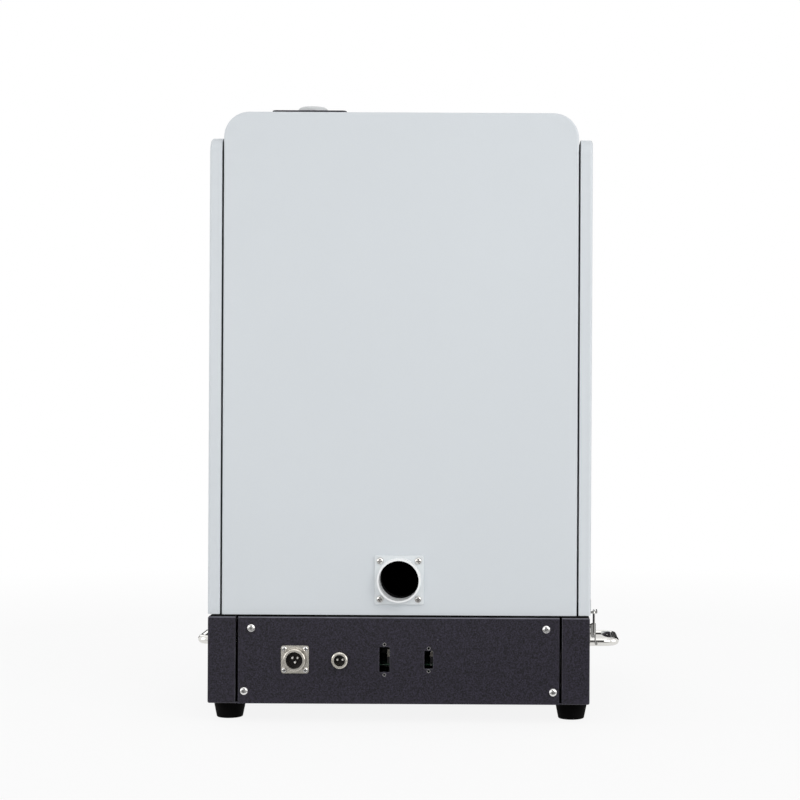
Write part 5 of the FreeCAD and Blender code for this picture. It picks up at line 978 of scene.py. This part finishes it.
def laid_on(piece, node):
    """Lays a flat sheet from the front onto a node's own slope, and gives it its thickness."""
    bpy.ops.object.select_all(action="DESELECT")
    piece.select_set(True)
    bpy.context.view_layer.objects.active = piece
    wrap = piece.modifiers.new("lay", "SHRINKWRAP")
    wrap.target = nodes[node]
    wrap.wrap_method = "PROJECT"
    wrap.use_project_y = True
    wrap.use_positive_direction = True
    wrap.use_negative_direction = False
    wrap.offset = LIFT
    bpy.ops.object.modifier_apply(modifier=wrap.name)
    wall = piece.modifiers.new("wall", "SOLIDIFY")
    wall.thickness = INK
    wall.offset = 1
    bpy.ops.object.modifier_apply(modifier=wall.name)
    return piece


def rocker_marks():
    centre = middle("switch_rocker")
    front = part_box("switch_rocker")[0].y - ROCKER_CLEAR
    bar = patch((centre.x, front, centre.z + ROCKER_MARK_UP), ROCKER_BAR_W, ROCKER_BAR_H)
    whole(bar)
    bpy.ops.mesh.subdivide(number_cuts=ROCKER_BAR_CUTS)
    bpy.ops.object.mode_set(mode="OBJECT")
    ring = disc((centre.x, front, centre.z - ROCKER_MARK_UP), ROCKER_RING_R, ROCKER_RING_SIDES)
    open_inside(ring, ROCKER_RING_LINE)
    marks = join([bar, ring])
    fit(laid_on(marks, "switch_rocker"), "rocker_marks", mark_ink, "rocker")


# Top vent
VENT_TURN = math.radians(30)
VENT_LINE_OUT = 0.0075
VENT_LINE_W, VENT_LINE_L = 0.0016, 0.0085
VENT_LINE_DEEP = 0.0004
VENT_TICKS = 4
VENT_TICK_OUT = 0.0385
VENT_TICK_W, VENT_TICK_L = 0.0011, 0.0042


def vent_marks():
    centre = middle("vent_dial")
    first = -VENT_TURN / 2
    out = Vector((math.sin(first), -math.cos(first), 0))
    hub = Vector((centre.x, centre.y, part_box("vent_dial")[1].z))
    line = patch(hub + out * VENT_LINE_OUT, VENT_LINE_W, VENT_LINE_L, (0, 0, first))
    thicken(line, (0, 0, -VENT_LINE_DEEP))
    fit(line, "vent_dial_pointer", ink_black, "vent_shutter")
    base = Vector((centre.x, centre.y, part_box("vent_plate")[1].z))
    tick = thicken(patch(base + out * VENT_TICK_OUT, VENT_TICK_W, VENT_TICK_L, (0, 0, first)), UPWARD)
    ring_of(tick, base, (0, 0, 1), VENT_TICKS, VENT_TURN)
    fit(tick, "vent_plate_scale", mark_ink, "chassis")


# Heater wires
TUBE_R = 0.005
WIRE_R = 0.00028
COIL_R = 0.0021
COIL_TURNS = 110
COIL_STEPS = 9
COIL_SHORT = 0.004
WIRE_SIDES = 5
HIGH_TUBES = 4
LOW_TUBES = 3


def heater_coil(length):
    """One coil of resistance wire along X, round the origin."""
    bpy.ops.object.select_all(action="DESELECT")
    bpy.ops.mesh.primitive_circle_add(
        vertices=WIRE_SIDES, radius=WIRE_R, location=(-length / 2, 0, COIL_R), rotation=FACING_FRONT
    )
    coil = settle()
    turn = coil.modifiers.new("turns", "SCREW")
    turn.axis = "X"
    turn.steps = COIL_STEPS
    turn.render_steps = COIL_STEPS
    turn.iterations = COIL_TURNS
    turn.screw_offset = length / COIL_TURNS
    bpy.ops.object.modifier_apply(modifier=turn.name)
    whole(coil)
    bpy.ops.mesh.normals_make_consistent(inside=False)
    bpy.ops.object.mode_set(mode="OBJECT")
    return coil


def heater_wires():
    low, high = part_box("heater_tubes")
    coil = heater_coil(high.x - low.x - COIL_SHORT)
    first_y = low.y + TUBE_R
    last_y = high.y - TUBE_R
    coils = []
    for count, z in ((HIGH_TUBES, high.z - TUBE_R), (LOW_TUBES, low.z + TUBE_R)):
        for step in range(count):
            wire = coil.copy()
            wire.data = coil.data.copy()
            wire.location = (0, first_y + (last_y - first_y) * step / (count - 1), z)
            bpy.context.collection.objects.link(wire)
            coils.append(wire)
    bpy.data.objects.remove(coil)
    wires = join(coils)
    settle()
    fit(wires, "heater_wires", heater_wire, "chassis")


display_marks()
key_marks()
status_lamp()
knob_marks()
stop_marks()
rocker_marks()
vent_marks()
heater_wires()


# Studio
SKY_LEVEL = 0.42
FLOOR_SIZE = 40.0
FLOOR_NEAR = 0.8
FLOOR_FAR = 1.6
FLOOR_SHINE = 0.88
CAMERA_ROLL = 0.0051
SEEN = ("Is Camera Ray", "Is Glossy Ray", "Is Transmission Ray")


def seen_rays(tree):
    """1 for the rays that show a thing, 0 for those that only light it."""
    path = put(tree, "ShaderNodeLightPath")
    seen = path.outputs[SEEN[0]]
    for label in SEEN[1:]:
        seen = sums(tree, "MAXIMUM", seen, path.outputs[label])
    return seen


def studio():
    world = bpy.data.worlds.new("studio_white")
    bpy.context.scene.world = world
    world.use_nodes = True
    tree = world.node_tree
    back = tree.nodes["Background"]
    back.inputs["Color"].default_value = (1, 1, 1, 1)
    tree.links.new(spread(tree, seen_rays(tree), 0.0, 1.0, SKY_LEVEL, 1.0), back.inputs["Strength"])


def floor():
    bpy.ops.object.select_all(action="DESELECT")
    bpy.ops.mesh.primitive_plane_add(size=FLOOR_SIZE)
    ground = bpy.context.object
    ground.name = "studio_floor"
    material = bpy.data.materials.new("floor_white")
    material.use_nodes = True
    tree = material.node_tree
    shader = tree.nodes["Principled BSDF"]
    shader.inputs["Base Color"].default_value = (0.8, 0.8, 0.8, 1)
    shader.inputs["Roughness"].default_value = 0.9
    shader.inputs["Specular IOR Level"].default_value = 0.0
    shine = put(tree, "ShaderNodeEmission", Color=(1, 1, 1, 1), Strength=1.0)
    away = put(tree, "ShaderNodeVectorMath", {"operation": "LENGTH"})
    tree.links.new(own_place(tree), away.inputs[0])
    plain = spread(tree, away.outputs["Value"], FLOOR_NEAR, FLOOR_FAR, FLOOR_SHINE, 1.0)
    both = put(tree, "ShaderNodeMixShader", Fac=sums(tree, "MULTIPLY", seen_rays(tree), plain))
    tree.links.new(shader.outputs[0], both.inputs[1])
    tree.links.new(shine.outputs[0], both.inputs[2])
    tree.links.new(both.outputs[0], tree.nodes["Material Output"].inputs["Surface"])
    ground.data.materials.append(material)


def dark_card(name, place, turn, width, height, grey):
    """A dark studio card that only mirrors show, so that bright metal has something to reflect."""
    card = patch(place, width, height, turn)
    card.name = name
    material = bpy.data.materials.new(name)
    material.use_nodes = True
    shader = material.node_tree.nodes["Principled BSDF"]
    shader.inputs["Base Color"].default_value = (grey, grey, grey, 1)
    shader.inputs["Roughness"].default_value = 1.0
    card.data.materials.append(material)
    card.visible_camera = False
    card.visible_diffuse = False
    card.visible_transmission = False
    card.visible_shadow = False


def lamp(name, place, aim, size, watts):
    data = bpy.data.lights.new(name, "AREA")
    data.shape = "RECTANGLE"
    data.size, data.size_y = size
    data.energy = watts
    light = bpy.data.objects.new(name, data)
    light.location = place
    light.rotation_euler = (Vector(aim) - Vector(place)).to_track_quat("-Z", "Y").to_euler()
    bpy.context.collection.objects.link(light)


def camera():
    data = bpy.data.cameras.new("photo_camera")
    data.sensor_width = 36
    data.lens = 81.957
    data.shift_x = -0.1366
    data.shift_y = -0.0125
    eye = bpy.data.objects.new("photo_camera", data)
    eye.location = (-0.120, 2.238, 0.3666)
    level = Euler((QUARTER, 0, 2 * QUARTER)).to_matrix()
    eye.rotation_euler = (level @ Matrix.Rotation(CAMERA_ROLL, 3, "Z")).to_euler()
    bpy.context.collection.objects.link(eye)
    bpy.context.scene.camera = eye


studio()
floor()
dark_card("studio_dark_card", (0, 3.6, 1.9), FACING_FRONT, 3.6, 3.4, 0.05)
dark_card("studio_front_card", (0, -3.4, 1.9), FACING_FRONT, 6.5, 3.8, 0.05)
dark_card("studio_floor_card", (0, 0.89, 0.003), FACING_UP, 2.4, 1.22, 0.3)
lamp("key_box", (-1.6, 2.4, 1.8), (0, 0, 0.3), (1.9, 1.9), 31)
lamp("fill_box", (0.8, 2.9, 0.7), (0, 0, 0.2), (2.0, 1.3), 14)
lamp("left_box", (2.4, 0.3, 0.9), (0, 0, 0.35), (1.4, 1.6), 10)
lamp("right_box", (-2.4, 0.3, 0.9), (0, 0, 0.35), (1.4, 1.6), 9)
lamp("front_box", (0.6, -2.8, 1.7), (0, 0, 0.35), (3.0, 2.4), 30)
lamp("top_box", (0, 0.3, 2.4), (0, 0, 0), (1.8, 1.8), 5)
camera()
bpy.context.scene.view_settings.view_transform = "Standard"
